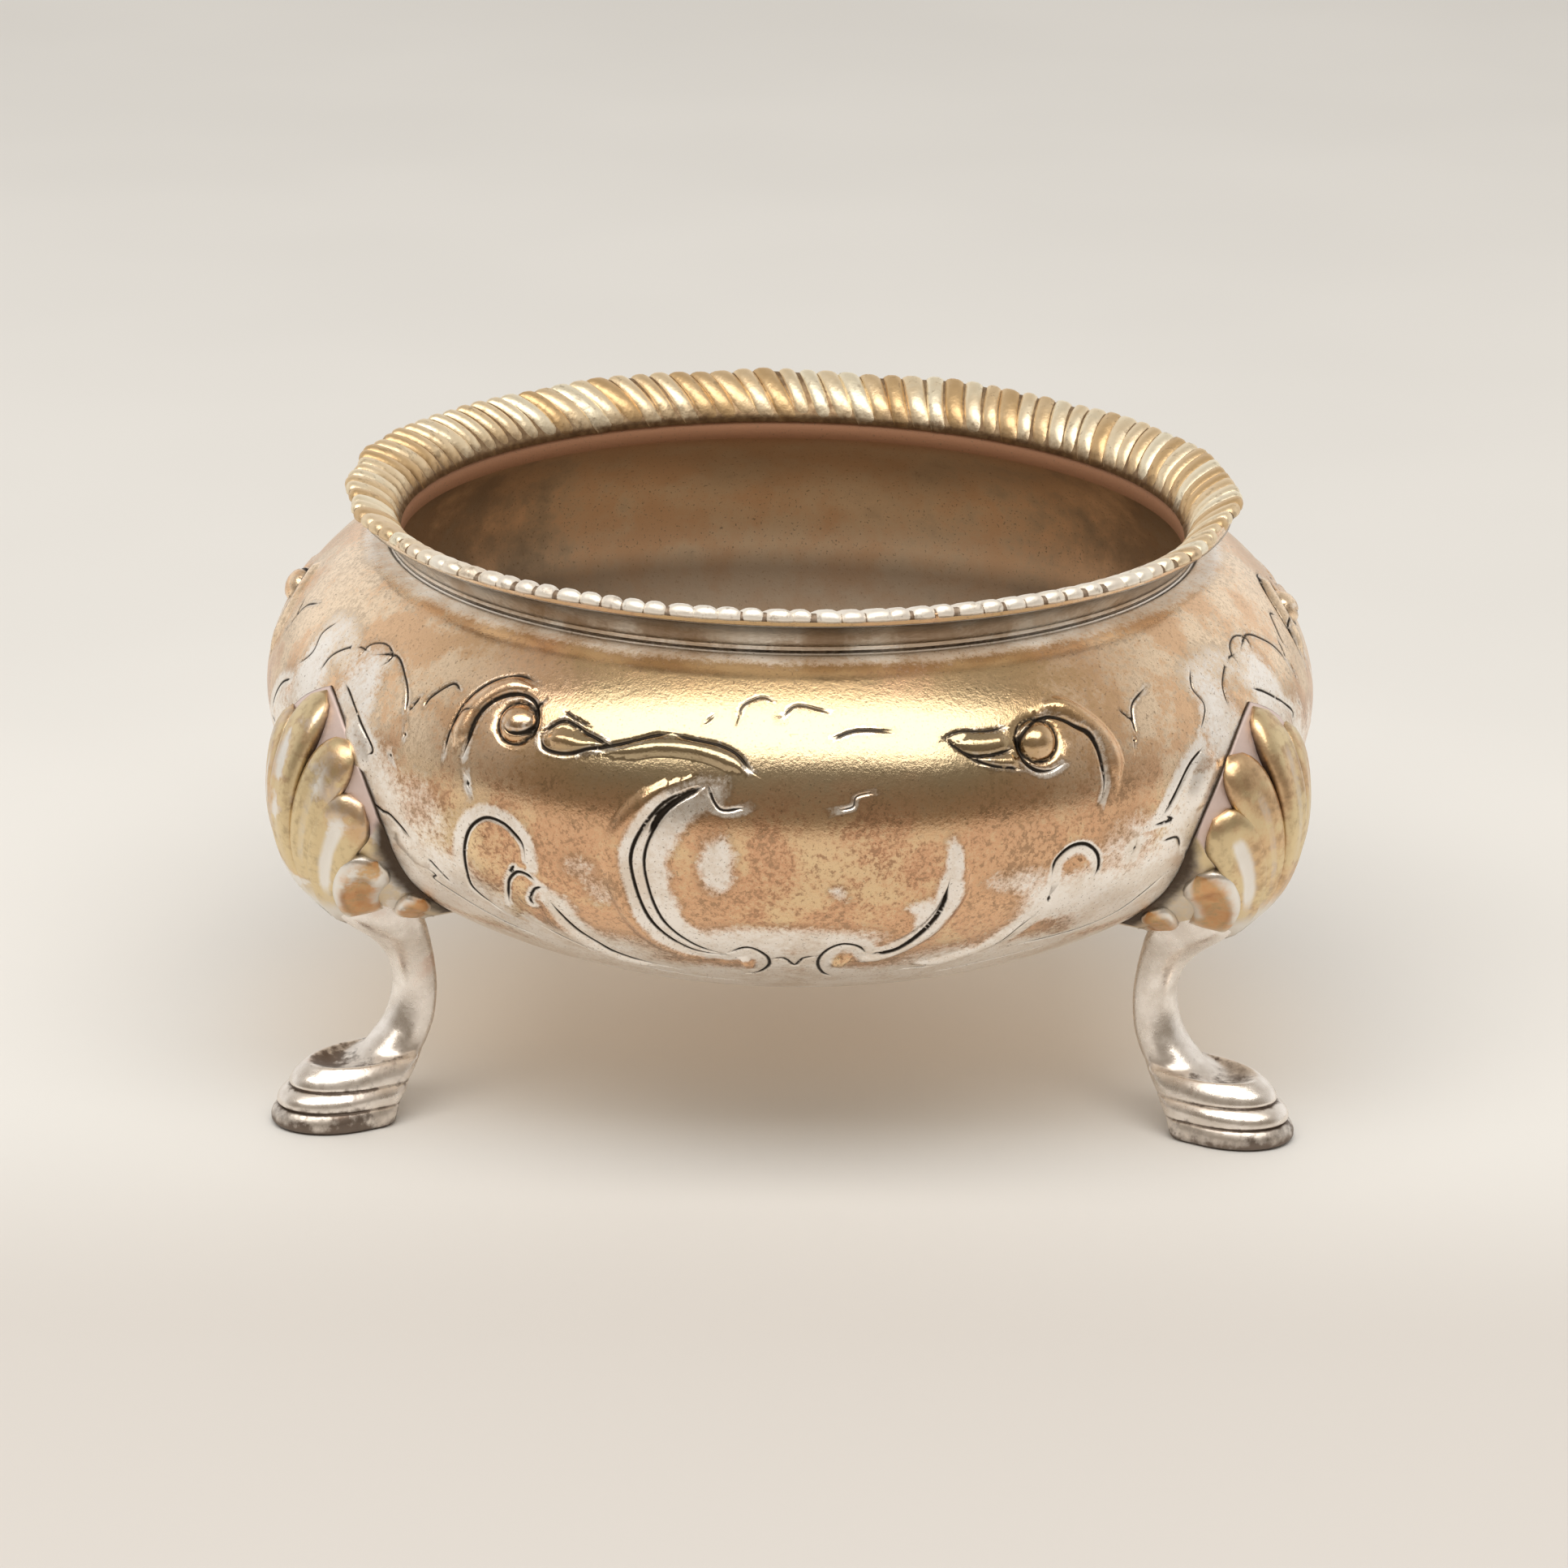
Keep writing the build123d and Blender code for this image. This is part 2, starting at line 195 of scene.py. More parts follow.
# Chased lines: depth, bare silver to the right and left of the way the stroke runs in mm, points
chased_lines = [
    (0.26, 1.3, 3.4, [(-8.7, 12.5), (-13, 7.7), (-15.9, -1.9), (-15.9, -10.4), (-14.5, -20.9),
        (-11.1, -27.9), (-6.6, -29.6)]),
    (0.2, 0.6, 2.6, [(-9.2, 11), (-12.4, 6.6), (-14.5, -1.9), (-14.5, -10), (-13.2, -20), (-10.2, -26.6),
        (-6.6, -29.4)]),
    (0.5, 0.3, 0.3, [(-8.9, 11.8), (-11.2, 9.3), (-13.2, 5.6), (-14.2, 1)]),
    (0.2, 0.8, 0.5, [(-8.4, 12.6), (-7.6, 9), (-6.6, 7.4), (-4.4, 8.2)]),
    (0.24, 1.6, 2.2, [(-7, -28.8), (-4.4, -26.1), (-2.4, -28.8), (-2, -32.8), (-3.5, -37), (-5.6, -38.2)]),
    (0.26, 1.2, 1.1, [(16.9, -8.2), (16.4, -15), (14.9, -21), (12.7, -25.8), (9.5, -28.6)]),
    (0.22, 1.6, 1.4, [(9.7, -29), (8.3, -25.6), (6.3, -24.6), (4.6, -27), (3.9, -31.5), (4.9, -37),
        (7.2, -40)]),
    (0.22, 1.6, 1.6, [(-1.8, -30.4), (-0.2, -29.8), (1.1, -32.8), (2.1, -29.8), (3.7, -28.8)]),
    (0.3, 0.9, 0.4, [(-36.4, 10.2), (-36.3, 13.4), (-35.9, 19.2), (-34.3, 22.8), (-31.8, 24.5),
        (-29.6, 23.4), (-28.6, 20), (-29.4, 17.6), (-31, 17), (-32.2, 18.4)]),
    (0.16, 0.5, 0.5, [(-39, 15.4), (-38.3, 18.8), (-36.7, 19.7)]),
    (0.16, 0.4, 0.4, [(-29.4, 22.1), (-28.6, 24.2)]),
    (0.18, 0.4, 0.4, [(-38.8, 9.6), (-39, 14), (-38.6, 20), (-36.6, 25), (-33.2, 27.6), (-30, 27)]),
    (0.22, 0.5, 0.5, [(-35.3, 6.4), (-35, 4.6)]),
    (0.26, 0.5, 0.7, [(-27.7, 17.9), (-25.4, 21.2), (-22.1, 19.4), (-19.6, 18)]),
    (0.26, 0.8, 0.5, [(-27.7, 17.9), (-26.8, 15.6), (-24.4, 15.2), (-21.4, 16.8), (-17.4, 19),
        (-14.6, 20.8), (-12.8, 21.3)]),
    (0.14, 0.4, 0.4, [(-25.8, 23.1), (-23.9, 21.6)]),
    (0.14, 0.4, 0.4, [(-24.5, 22.2), (-22.2, 20.9)]),
    (0.22, 0.6, 0.6, [(-12.8, 21.3), (-10.5, 20.6), (-7.4, 19.8), (-5.4, 18.1), (-3.9, 15)]),
    (0.12, 0.5, 0.5, [(-9.4, 23.6), (-8.5, 25.5)]),
    (0.12, 0.6, 0.6, [(-5.7, 25.1), (-5.4, 27.4), (-3.4, 29), (-1.9, 28.5)]),
    (0.12, 0.6, 0.6, [(-0.8, 25.7), (0.9, 27.7), (4.7, 26.4)]),
    (0.14, 0.6, 0.6, [(4.6, 21.5), (7.4, 23), (11.5, 22.6)]),
    (0.12, 0.5, 0.5, [(5.1, 7.9), (6.6, 8.6), (7, 10.6), (9, 11.4)]),
    (0.3, 0.5, 0.8, [(30.1, 13.5), (28.5, 12.5), (26.8, 12.9), (25.6, 14.9), (25.3, 17.6), (25.8, 19.7),
        (27.5, 21.6), (29.6, 22.5), (31.4, 21.6), (32.7, 20), (34.1, 18.2), (34.7, 15.2), (34.8, 11.4),
        (34.7, 7.9), (34, 4.7)]),
    (0.24, 0.6, 0.6, [(16.8, 21.1), (19.2, 17.5), (21.7, 16.8), (24.9, 17.7)]),
    (0.2, 0.5, 0.5, [(19.1, 17.2), (21.7, 14.8), (25.1, 13.6)]),
    (0.16, 0.5, 0.5, [(16.4, 20.2), (18.6, 21.8), (21.6, 21.4), (24.4, 21.6)]),
    (0.14, 0.5, 0.5, [(44.8, 24.1), (41.5, 21.7), (40.5, 18.6), (40.3, 15.8)]),
    (0.14, 0.4, 0.4, [(39.1, 21.4), (40.6, 18.4)]),
    (0.2, 0.5, 0.5, [(39.9, 15.3), (39.7, 14.5)]),
    (0.24, 1.7, 0.4, [(-28.2, -9.1), (-28.3, -5.1), (-29.3, -2.8), (-30.6, -1.2), (-32.5, -0.8),
        (-34.1, -2.6), (-35.2, -5.4), (-36.1, -9.8), (-36.7, -14.8), (-37.1, -18.8), (-36.5, -21.3),
        (-35.5, -23.3), (-34.1, -26.2)]),
    (0.22, 0.6, 0.4, [(-27.6, -13.4), (-28.4, -12.1), (-29.6, -12), (-30.9, -14.4), (-31.6, -17.3),
        (-32.5, -21.5)]),
    (0.2, 0.6, 0.6, [(-26.9, -14.6), (-28, -15.7), (-28.8, -18.2), (-28.7, -19.8)]),
    (0.2, 0.4, 0.4, [(-29.7, -10.3), (-30.6, -12.5)]),
    (0.24, 1.2, 2.4, [(-26.6, -18.1), (-25.8, -22), (-24.6, -26.5), (-23.1, -30), (-21.5, -33.3),
        (-18.2, -36.4), (-13, -39)]),
    (0.16, 0.8, 0.8, [(-30.5, -26), (-27.5, -31), (-24, -35.4), (-19, -39.5), (-12, -42.6), (-4, -43.6)]),
    (0.24, 1.2, 0.5, [(28.7, -10.4), (28.8, -6.8), (30.3, -4.2), (32.2, -4.1), (33.9, -6.7), (34.6, -10.2),
        (34.4, -12.6)]),
    (0.22, 1.6, 2.2, [(14.4, -36.4), (19.4, -36), (23.4, -32.1), (26.5, -25.6), (28.4, -21)]),
    (0.2, 0.9, 0.9, [(29.2, -15.2), (29.4, -17.4)]),
    (0.2, 1.6, 1.2, [(39.2, -7), (39, -8.4)]),
    (0.16, 0.5, 0.6, [(41.3, -3.6), (43.9, -3.5), (43.1, -2.4)]),
    (0.16, 0.5, 0.5, [(43.3, -8), (45.4, -8.2), (46.6, -11.1)]),
    (0.16, 0.9, 0.9, [(28, -31), (34, -30.6), (38.9, -29.4), (42.4, -26.8), (44.6, -21.7), (46.5, -17)]),
    (0.14, 0.8, 0.8, [(20, -41), (28, -37.4), (36, -34.6)]),
    (0.14, 0.5, 0.5, [(-64.1, 14.6), (-63.2, 19.2), (-59.9, 22.7), (-56.7, 23.1)]),
    (0.16, 0.6, 0.6, [(-56.1, 22.9), (-51.9, 24.5), (-48.6, 21.6), (-46.8, 18.6), (-45.9, 15.1)]),
    (0.16, 0.5, 0.5, [(-45.7, 15.7), (-44.8, 19.4)]),
    (0.16, 0.5, 0.5, [(-43.7, 17.5), (-43.4, 19.7), (-41.3, 23.3), (-39.6, 22.3)]),
    (0.2, 0.5, 0.5, [(-45.1, 12), (-44.9, 10.8)]),
    (0.2, 0.5, 0.5, [(-46.6, 6.9), (-46.2, 5.7)]),
    (0.18, 1, 1, [(-58, 16), (-55.6, 14), (-51.4, 9), (-49.4, 6), (-50.2, 4.4)]),
    (0.2, 1.2, 1.4, [(-49.4, -5.6), (-47.8, -6.6), (-46.4, -7), (-43.7, -10.9)]),
    (0.18, 0.8, 1.2, [(-42.3, -14.6), (-40.5, -20.1)]),
    (0.16, 1, 1, [(-43.6, -18), (-42.6, -19.4), (-43.4, -21), (-41, -24), (-36.4, -29.6), (-31, -34)]),
    (0.18, 1.4, 0.8, [(49.4, 9.6), (46.3, 6.3), (42.4, -2.3)]),
    (0.14, 0.6, 0.6, [(62, 21), (62.4, 24.2), (65, 25.6), (67.4, 24.2), (66.6, 21.4)]),
    (0.12, 0.6, 0.6, [(53, 24.6), (51.4, 21), (52, 17), (49.6, 12.6)]),
]

# Raised forms: height, half width in mm, points along the crest
raised_forms = [
    (0.32, 1.0, [(-9.6, 14), (-14.6, 8.6), (-17.8, -1.8), (-17.8, -10.8), (-16.2, -22), (-12.4, -30),
        (-7, -32.2)]),
    (0.4, 0.95, [(17.4, -1.2), (18.2, -7), (17.6, -13.4), (16.2, -19.6), (14, -25), (10.4, -29.6),
        (7, -31.4)]),
    (0.3, 0.75, [(16, -3), (16, -9), (15, -15.6), (13.2, -20.6), (10.8, -25.4)]),
    (0.36, 1.3, [(-3.6, -31.8), (-5.4, -32.4)]),
    (0.36, 1.4, [(5.8, -30.6), (7.4, -31.6)]),
    (0.4, 1.0, [(-37.6, 11), (-37.4, 16), (-36.6, 21), (-33.8, 25.4), (-30.4, 26)]),
    (0.3, 0.8, [(-27, 17.2), (-25, 17.8), (-22.6, 17.4), (-20, 17.8)]),
    (0.32, 0.8, [(-20.6, 16.0), (-17.6, 17.2), (-14.2, 18.7), (-10.6, 18.8), (-7.6, 17.8), (-5.6, 16.2),
        (-4.2, 14.2)]),
    (0.24, 0.9, [(18.4, 19.6), (21.6, 19), (24.6, 19.2)]),
    (0.22, 0.7, [(20.2, 16.2), (23, 15.2), (25, 15)]),
    (0.36, 0.9, [(36.2, 6), (36.4, 11.4), (36, 16), (34.4, 20.4), (31.6, 24.2), (28, 24)]),
    (0.24, 1.5, [(-31.6, -4.6), (-33, -8.4), (-34.2, -14), (-34.6, -19)]),
    (0.2, 1.0, [(-28.6, -17), (-29.8, -21)]),
    (0.24, 1.2, [(31.4, -7), (32, -10.6)]),
    (0.26, 1.0, [(-28.2, -19), (-26.8, -25), (-24.6, -31), (-21.4, -36), (-16, -39)]),
    (0.26, 1.0, [(15, -34), (20, -33.4), (24.4, -28.6), (27.6, -22)]),
    (0.28, 1.5, [(-55, 9.6), (-52.4, 5), (-51, -1)]),
    (0.28, 1.5, [(51.6, 8), (49, 3), (47, -4)]),
    (0.2, 1.4, [(-46.4, -9.6), (-44.4, -14), (-42.8, -18)]),
]

# Round bosses: degrees around, oval angle, radius in mm, height
bosses = [
    (-30.9, 19.2, 1.45, 0.8),
    (27.6, 18.6, 1.5, 0.85),
]

# Places where silver is left: degrees around, oval angle, reach along and up in mm, strength
silver_left = [
    (-7.2, -4.5, 1.5, 2.9, 1.0), (5.6, -10.5, 0.8, 0.8, 0.9), (13.5, -14.5, 1.0, 0.9, 0.9),
    (0, -24, 9, 2.6, 0.8), (17.3, -4.5, 0.8, 2.4, 1.0), (17, -11, 1.2, 2.8, 1.0),
    (15.4, -18, 1.3, 2.8, 1.0), (-50, -10, 6, 8, 0.9), (-44, -22, 9, 6, 0.95), (-55, 8, 3.4, 8, 0.8),
    (-42, -4, 4, 4, 0.55), (50, -10, 6, 8, 0.9), (44, -22, 9, 6, 0.95), (54, 8, 3.4, 8, 0.8),
    (38, -8, 4, 4, 0.55), (33, -17, 6, 3.4, 0.85), (25, -10, 3.4, 1.6, 0.6), (-22, -8, 2, 1.6, 0.5),
    (-20, -13, 1.6, 2, 0.5), (-57, 20, 4, 3, 0.45), (56, 22, 5, 3, 0.45), (26, -34, 10, 4, 0.8),
    (-26, -32, 10, 4, 0.8),
]

stroke_step = 0.34     # about how far apart in mm the points of a stroke lie
run_over = 50.0        # degrees from the front past which a stroke also shows in the next panel
line_width = 0.15
patch_depth = 9.0      # mm a silver patch reaches through the bowl's curve


def chased_path(points):
    """Smooth line through a stroke's points, as degrees around and oval angle in short steps."""
    keys = np.array(points, dtype=float)
    longest = np.linalg.norm(np.diff(oval_place(*keys.T), axis=0), axis=1).max()
    return smooth_rows(keys, max(2, int(longest / stroke_step)))


class Stroke:
    """One line of the ornament, with its places on the bowl and how far it reaches."""

    def __init__(self, points, reach, turn):
        around, up = chased_path(points).T
        self.place = oval_place(around + turn, up)
        self.facing = oval_facing(around + turn, up)
        self.low = self.place.min(axis=0) - reach
        self.high = self.place.max(axis=0) + reach

    def near(self, place, facing):
        """Rows within reach, with their distance, share along the stroke and side, 1 on its left."""
        rows = np.nonzero(np.all((place > self.low) & (place < self.high), axis=1))[0]
        run = np.diff(self.place, axis=0)
        away = place[rows][:, None] - self.place[None, :-1]
        t = np.clip((away * run).sum(2) / (run * run).sum(1), 0, 1)
        off = away - t[..., None] * run
        gap = (off * off).sum(2)
        best = gap.argmin(axis=1)
        pick = np.arange(len(rows))
        share = (best + t[pick, best]) / len(run)
        side = (np.cross(facing[rows], run[best]) * off[pick, best]).sum(1)
        return rows, np.sqrt(gap[pick, best]), share, np.sign(side)

    def rail(self, offset):
        """A line beside the stroke, on the flat panel."""
        across = unit(np.cross(self.facing, np.gradient(self.place, axis=0)))
        return to_sheet(*oval_angles(self.place + across * offset))


def strokes_of(table, reach):
    """Strokes of a table's rows, with copies of those that run over into the next panel."""
    made = []
    for row in table:
        points = row[-1]
        turns = [0.0]
        if max(p[0] for p in points) > run_over:
            turns.append(-panel_turn)
        if min(p[0] for p in points) < -run_over:
            turns.append(panel_turn)
        made += [(row, Stroke(points, reach(row), turn)) for turn in turns]
    return made


line_strokes = strokes_of(chased_lines, lambda row: max(row[1], row[2]) + 1.2)
form_strokes = strokes_of(raised_forms, lambda row: row[1])


def chasing(place, facing):
    """Lift, dark line and bare silver of the ornament at places on the oval."""
    lift, dark, silver = np.zeros((3, len(place)))
    for (height, half, _), stroke in form_strokes:
        rows, gap, share, _ = stroke.near(place, facing)
        taper = ease(0, 0.24, share) * ease(0, 0.24, 1 - share) * 0.85 + 0.15
        dome = np.clip(1 - (gap / (half * taper)) ** 2, 0, 1) ** 1.5
        lift[rows] = np.maximum(lift[rows], height * taper * dome)
    for around, up, radius, height in bosses:
        gap = np.linalg.norm(place - oval_place(np.array(around), np.array(up)), axis=1)
        lift += height * np.clip(1 - (gap / radius) ** 2, 0, 1) ** 0.8
        moat = np.exp(-((gap - radius - 0.12) / 0.2) ** 2)
        lift -= 0.16 * moat
        dark = np.maximum(dark, 0.8 * moat)
    for (depth, right, left, _), stroke in line_strokes:
        rows, gap, share, side = stroke.near(place, facing)
        taper = np.clip(np.minimum(share, 1 - share) / 0.14, 0, 1) * 0.65 + 0.35
        width = line_width * (0.55 + 1.5 * depth) * taper
        lift[rows] -= 0.6 * depth * taper * np.exp(-(gap / width) ** 2)
        strength = min(1.0, 0.45 + 2.4 * depth)
        dark[rows] = np.maximum(dark[rows], strength * taper * np.exp(-(gap / (width * 1.15)) ** 2))
        spread = np.where(side > 0, left, right)
        bare = (1 - ease(0.35, 1.0, gap / (0.8 * spread + 0.15))) * np.clip(0.5 + 0.6 * spread, 0, 1)
        bare *= 1 - 0.55 * ease(bulge_height + 1, bulge_height + 6, place[rows, 2])
        silver[rows] = np.maximum(silver[rows], bare)
    return lift, dark, silver


def silver_patches(place):
    """Soft patches of silver that the polishing left."""
    found = np.zeros(len(place))
    for around, up, wide, high, strength in silver_left:
        for turn in (-panel_turn, 0.0, panel_turn):
            spot = np.array(around + turn), np.array(up)
            off, facing = place - oval_place(*spot), oval_facing(*spot)
            level, rise = sheet_axes(facing)
            flat = (off @ level / wide) ** 2 + (off @ rise / high) ** 2
            reach = np.sqrt(flat + (off @ facing / patch_depth) ** 2)
            found = np.maximum(found, strength * (1 - ease(0.35, 1.25, reach)))
    return found


# One panel of the bowl: points along the lines, then Delaunay triangles

panel_foot = -76.0
panel_top = math.degrees(math.acos(shoulder_end / bulge_radius))
columns, panel_rows = 60, 58
slope_angles = np.linspace(panel_foot, panel_top, 1600)
slope_places = oval_place(np.zeros(len(slope_angles)), slope_angles)
slope_lengths = np.concatenate([[0], np.cumsum(np.linalg.norm(np.diff(slope_places, axis=0), axis=1))])
flat_scale = 0.62

# Where points go: mm beside a line, shares of a form's half width and of a boss's radius, steps of the
# field, and the room in mm that each kind keeps from the points already there
line_rails, line_room = (0.0, 0.11, -0.11, 0.22, -0.22, 0.4, -0.4, 0.7, -0.7, 1.2, -1.2), 0.085
form_rails, form_room = (0.0, 0.4, -0.4, 0.7, -0.7, 0.9, -0.9, 1.08, -1.08), 0.13
boss_rings, boss_room = (0.0, 0.35, 0.65, 0.85, 1.0, 1.12, 1.3), 0.09
field_step, field_squeeze, field_room = 1.05, 0.87, 0.62


def to_sheet(around, up):
    """The panel laid flat: width by a fixed scale, height by length along the bowl's slope."""
    return np.stack([around * flat_scale, np.interp(up, slope_angles, slope_lengths)], -1)


def panel_points():
    """Points on the flat panel: its edges, rails along each stroke, then an even field."""
    width, height = panel_half * flat_scale, slope_lengths[-1]
    edges = [(x, y) for y in (0, height) for x in np.linspace(-width, width, columns + 1)]
    edges += [(x, y) for x in (-width, width) for y in np.linspace(0, height, panel_rows)[1:-1]]
    cell, margin = 0.5, 0.35
    kept, cells = [], {}

    def crowded(x, y, i, j, room):
        reach = math.ceil(room / cell)
        span = range(-reach, reach + 1)
        near = (p for a in span for b in span for p in cells.get((i + a, j + b), ()))
        return any((p[0] - x) ** 2 + (p[1] - y) ** 2 < room * room for p in near)

    def add(points, room):
        for x, y in points:
            i, j = math.floor(x / cell), math.floor(y / cell)
            inside = abs(x) <= width - margin and margin <= y <= height - margin
            if inside and not crowded(x, y, i, j, room):
                kept.append((x, y))
                cells.setdefault((i, j), []).append((x, y))

    for offset in line_rails:
        for _, stroke in line_strokes:
            add(stroke.rail(offset), line_room)
    for share in form_rails:
        for row, stroke in form_strokes:
            add(stroke.rail(share * row[1]), form_room)
    for around, up, radius, _ in bosses:
        spot = np.array(around), np.array(up)
        level, rise = sheet_axes(oval_facing(*spot))
        for share in boss_rings:
            turn = np.radians(np.arange(0, 360, 12 if share else 360))[:, None]
            ring = oval_place(*spot) + radius * share * (np.cos(turn) * level + np.sin(turn) * rise)
            add(to_sheet(*oval_angles(ring)), boss_room)
    for j in range(int(height / (field_step * field_squeeze)) + 1):
        across = range(int(2 * width / field_step) + 1)
        y = j * field_step * field_squeeze
        add([(-width + (i + 0.5 * (j % 2)) * field_step, y) for i in across], field_room)
    return edges + kept


def bowl_marks(count, **given):
    """The bowl's painted marks, zero where none is given."""
    return {mark: given.get(mark, np.zeros(count)) for mark in ("dark", "silver", "inside", "polish")}


def make_panel():
    """One panel: places, normals and marks, and its triangles."""
    flat = [Vector(p) for p in panel_points()]
    verts, _, faces, _, _, _ = geometry.delaunay_2d_cdt(flat, [], [], 0, 1e-7)
    flat = np.array([tuple(v) for v in verts])
    around = flat[:, 0] / flat_scale
    up = np.interp(flat[:, 1], slope_lengths, slope_angles)
    place, facing = oval_place(around, up), oval_facing(around, up)
    lift, dark, silver = chasing(place, facing)
    silver = np.maximum(silver, silver_patches(place))
    silver = np.maximum(silver, 0.8 * (1 - ease(-37, -30, up)))
    probe = 0.04
    tilt = facing.copy()
    for way in sheet_axes(facing):
        ahead, behind = (chasing(place + way * step, facing)[0] for step in (probe, -probe))
        tilt -= way * ((ahead - behind) / (2 * probe))[:, None]
    fade = ease(panel_foot, panel_foot + 6, up) * (1 - ease(panel_top - 2.5, panel_top - 0.5, up))
    place = place + facing * (lift * fade)[:, None]
    tilt = np.where(fade[:, None] > 0.5, unit(tilt), facing)
    return place, tilt, bowl_marks(len(up), dark=dark * fade, silver=silver), faces


# The bowl's rings and the whole bowl

# The bead at the neck's crease and the sheet's rounded edge, out and up in mm from their middles
neck_bead = [(0.3, -0.12), (0.16, -0.18), (0.04, -0.12), (-0.02, 0.02), (0.1, 0.16), (0.16, 0.3), (0.1, 0.45)]
lip_edge = [(-0.02, -0.36), (0.06, -0.22), (0.08, 0.0), (0.06, 0.22), (-0.02, 0.36)]


def profile_tilt(profile):
    """Normals of a profile in the radius and height plane, on its right-hand side as it climbs."""
    run = np.gradient(profile, axis=0)
    return unit(np.stack([run[:, 1], -run[:, 0]], -1))


def arc(centre, radius, start, end, count):
    """Points of an arc in the radius and height plane."""
    turn = np.radians(np.linspace(start, end, count))
    return np.stack([centre[0] + radius * np.cos(turn), centre[1] + radius * np.sin(turn)], -1)


def bend(a, b, tangent, count):
    """Curve from a to b that leaves along a tangent."""
    t = np.linspace(0, 1, count)[:, None]
    reach = np.linalg.norm(b - a) * 0.55
    middle = a + tangent * reach
    return (1 - t) ** 2 * a + 2 * t * (1 - t) * middle + t ** 2 * b


def bowl_rings():
    """Profile above the panels: shoulder's round, crease, neck, lip, and the inside to its pole."""
    end = np.array([shoulder_end, bulge_height + shoulder_rise * math.sin(math.radians(panel_top))])
    crease = np.array([neck_radius, end[1] + shoulder_top])
    shoulder = bend(end, crease + np.array([0.45, -0.02]), oval_slope(panel_top, 0), 12)
    bead = crease + np.array(neck_bead)
    under = arc(lip_centre, lip_arc, lip_start - 9, lip_end, 12)
    edge = arc(lip_centre + np.array([0.02, 0]), lip_arc + wall / 2, lip_end, lip_end, 1)
    rim = edge + np.array(lip_edge)
    upper = arc(lip_centre, lip_arc + wall, lip_end + 2, lip_start, 12)
    inner_up = np.degrees(np.arccos((shoulder_end - wall) / (bulge_radius - wall)))
    angles = np.radians(np.concatenate([np.linspace(inner_up, 0, 14), np.linspace(-5, -90, 26)]))
    rise = half_axis(angles) - wall
    hollow = np.stack([(bulge_radius - wall) * np.cos(angles), bulge_height + rise * np.sin(angles)], -1)
    throat = bend(hollow[0], crease - wall, oval_slope(inner_up, wall), 8)[::-1][:-1]
    line = np.vstack([shoulder, bead, under, rim, upper, throat, hollow])
    neck = len(shoulder)
    rim_start = neck + len(bead) + len(under)
    rim_end = rim_start + len(rim)
    marks = bowl_marks(len(line))
    marks["dark"][neck - 1:neck + 3] = [0.2, 0.6, 0.65, 0.3]
    marks["silver"][:neck] = 0.15 + 0.55 * ease(0.25, 0.75, np.linspace(0, 1, neck))
    marks["silver"][neck:rim_start - 2] = 1.0
    marks["inside"][rim_end:] = 1.0
    marks["polish"][neck + 3:rim_start] = 1.0
    return line, marks


def make_bowl():
    """The bowl: three chased panels, the neck and lip, the plain inside and the cap underneath."""
    places, tilts, faces = [], [], []
    marks = {mark: [] for mark in bowl_marks(0)}
    seen = {}

    def weld(place, tilt, values, edge, triangles):
        index = []
        for i, p in enumerate(place):
            key = (round(p[0], 2), round(p[1], 2), round(p[2], 2)) if edge[i] else (len(places),)
            if key not in seen:
                seen[key] = len(places)
                places.append(p)
                tilts.append(tilt[i])
                for mark in marks:
                    marks[mark].append(values[mark][i])
            index.append(seen[key])
        for face in triangles:
            loop = [index[v] for v in face]
            loop = [v for n, v in enumerate(loop) if v != loop[n - 1]]
            if len(loop) > 2:
                faces.append(loop)

    panel, panel_tilt, values, triangles = make_panel()
    around, up = oval_angles(panel)
    near = 0.02
    edge = (np.abs(np.abs(around) - panel_half) < near) | (up < panel_foot + near) | (up > panel_top - near)
    for n in range(panels):
        weld(turned(panel, n * panel_turn), turned(panel_tilt, n * panel_turn), values, edge, triangles)

    ring = columns * panels
    turn = np.radians(np.arange(ring) * 360 / ring - 90 - panel_half)

    def revolve(line, tilt, values):
        count = len(line)
        place, facing = revolved(line, turn).reshape(-1, 3), revolved(tilt, turn).reshape(-1, 3)
        rows = {mark: np.repeat(value, ring) for mark, value in values.items()}
        ends = np.repeat(np.isin(np.arange(count), [0, count - 1]), ring)
        weld(place, facing, rows, ends, grid_faces(count, ring, True))

    line, values = bowl_rings()
    revolve(line, profile_tilt(line), values)
    angles = np.radians(np.linspace(-90, panel_foot, 6))
    cap = np.stack([bulge_radius * np.cos(angles), bulge_height + belly_depth * np.sin(angles)], -1)
    facing = unit(np.stack([np.cos(angles) / bulge_radius, np.sin(angles) / belly_depth], -1))
    revolve(cap, facing, bowl_marks(len(cap), silver=np.full(len(cap), 0.85)))
    return make_piece("bowl_chased", places, faces, bowl_finish, marks, tilts)


# Finishes

class Value:
    """A socket of a node tree that Python sums work on."""

    def __init__(self, tree, socket):
        self.tree, self.socket = tree, socket

    def sum(self, operation, other, swapped=False):
        node = self.tree.nodes.new("ShaderNodeMath")
        node.operation = operation
        pair = (other, self) if swapped else (self, other)
        for socket, item in zip(node.inputs, pair):
            feed(self.tree, socket, item)
        return Value(self.tree, node.outputs[0])

    def __add__(self, other):
        return self.sum("ADD", other)

    __radd__ = __add__

    def __sub__(self, other):
        return self.sum("SUBTRACT", other)

    def __rsub__(self, other):
        return self.sum("SUBTRACT", other, True)

    def __mul__(self, other):
        return self.sum("MULTIPLY", other)

    __rmul__ = __mul__


def feed(tree, socket, item):
    """Link a value to a socket, or set it."""
    if isinstance(item, Value):
        tree.links.new(item.socket, socket)
    else:
        socket.default_value = item


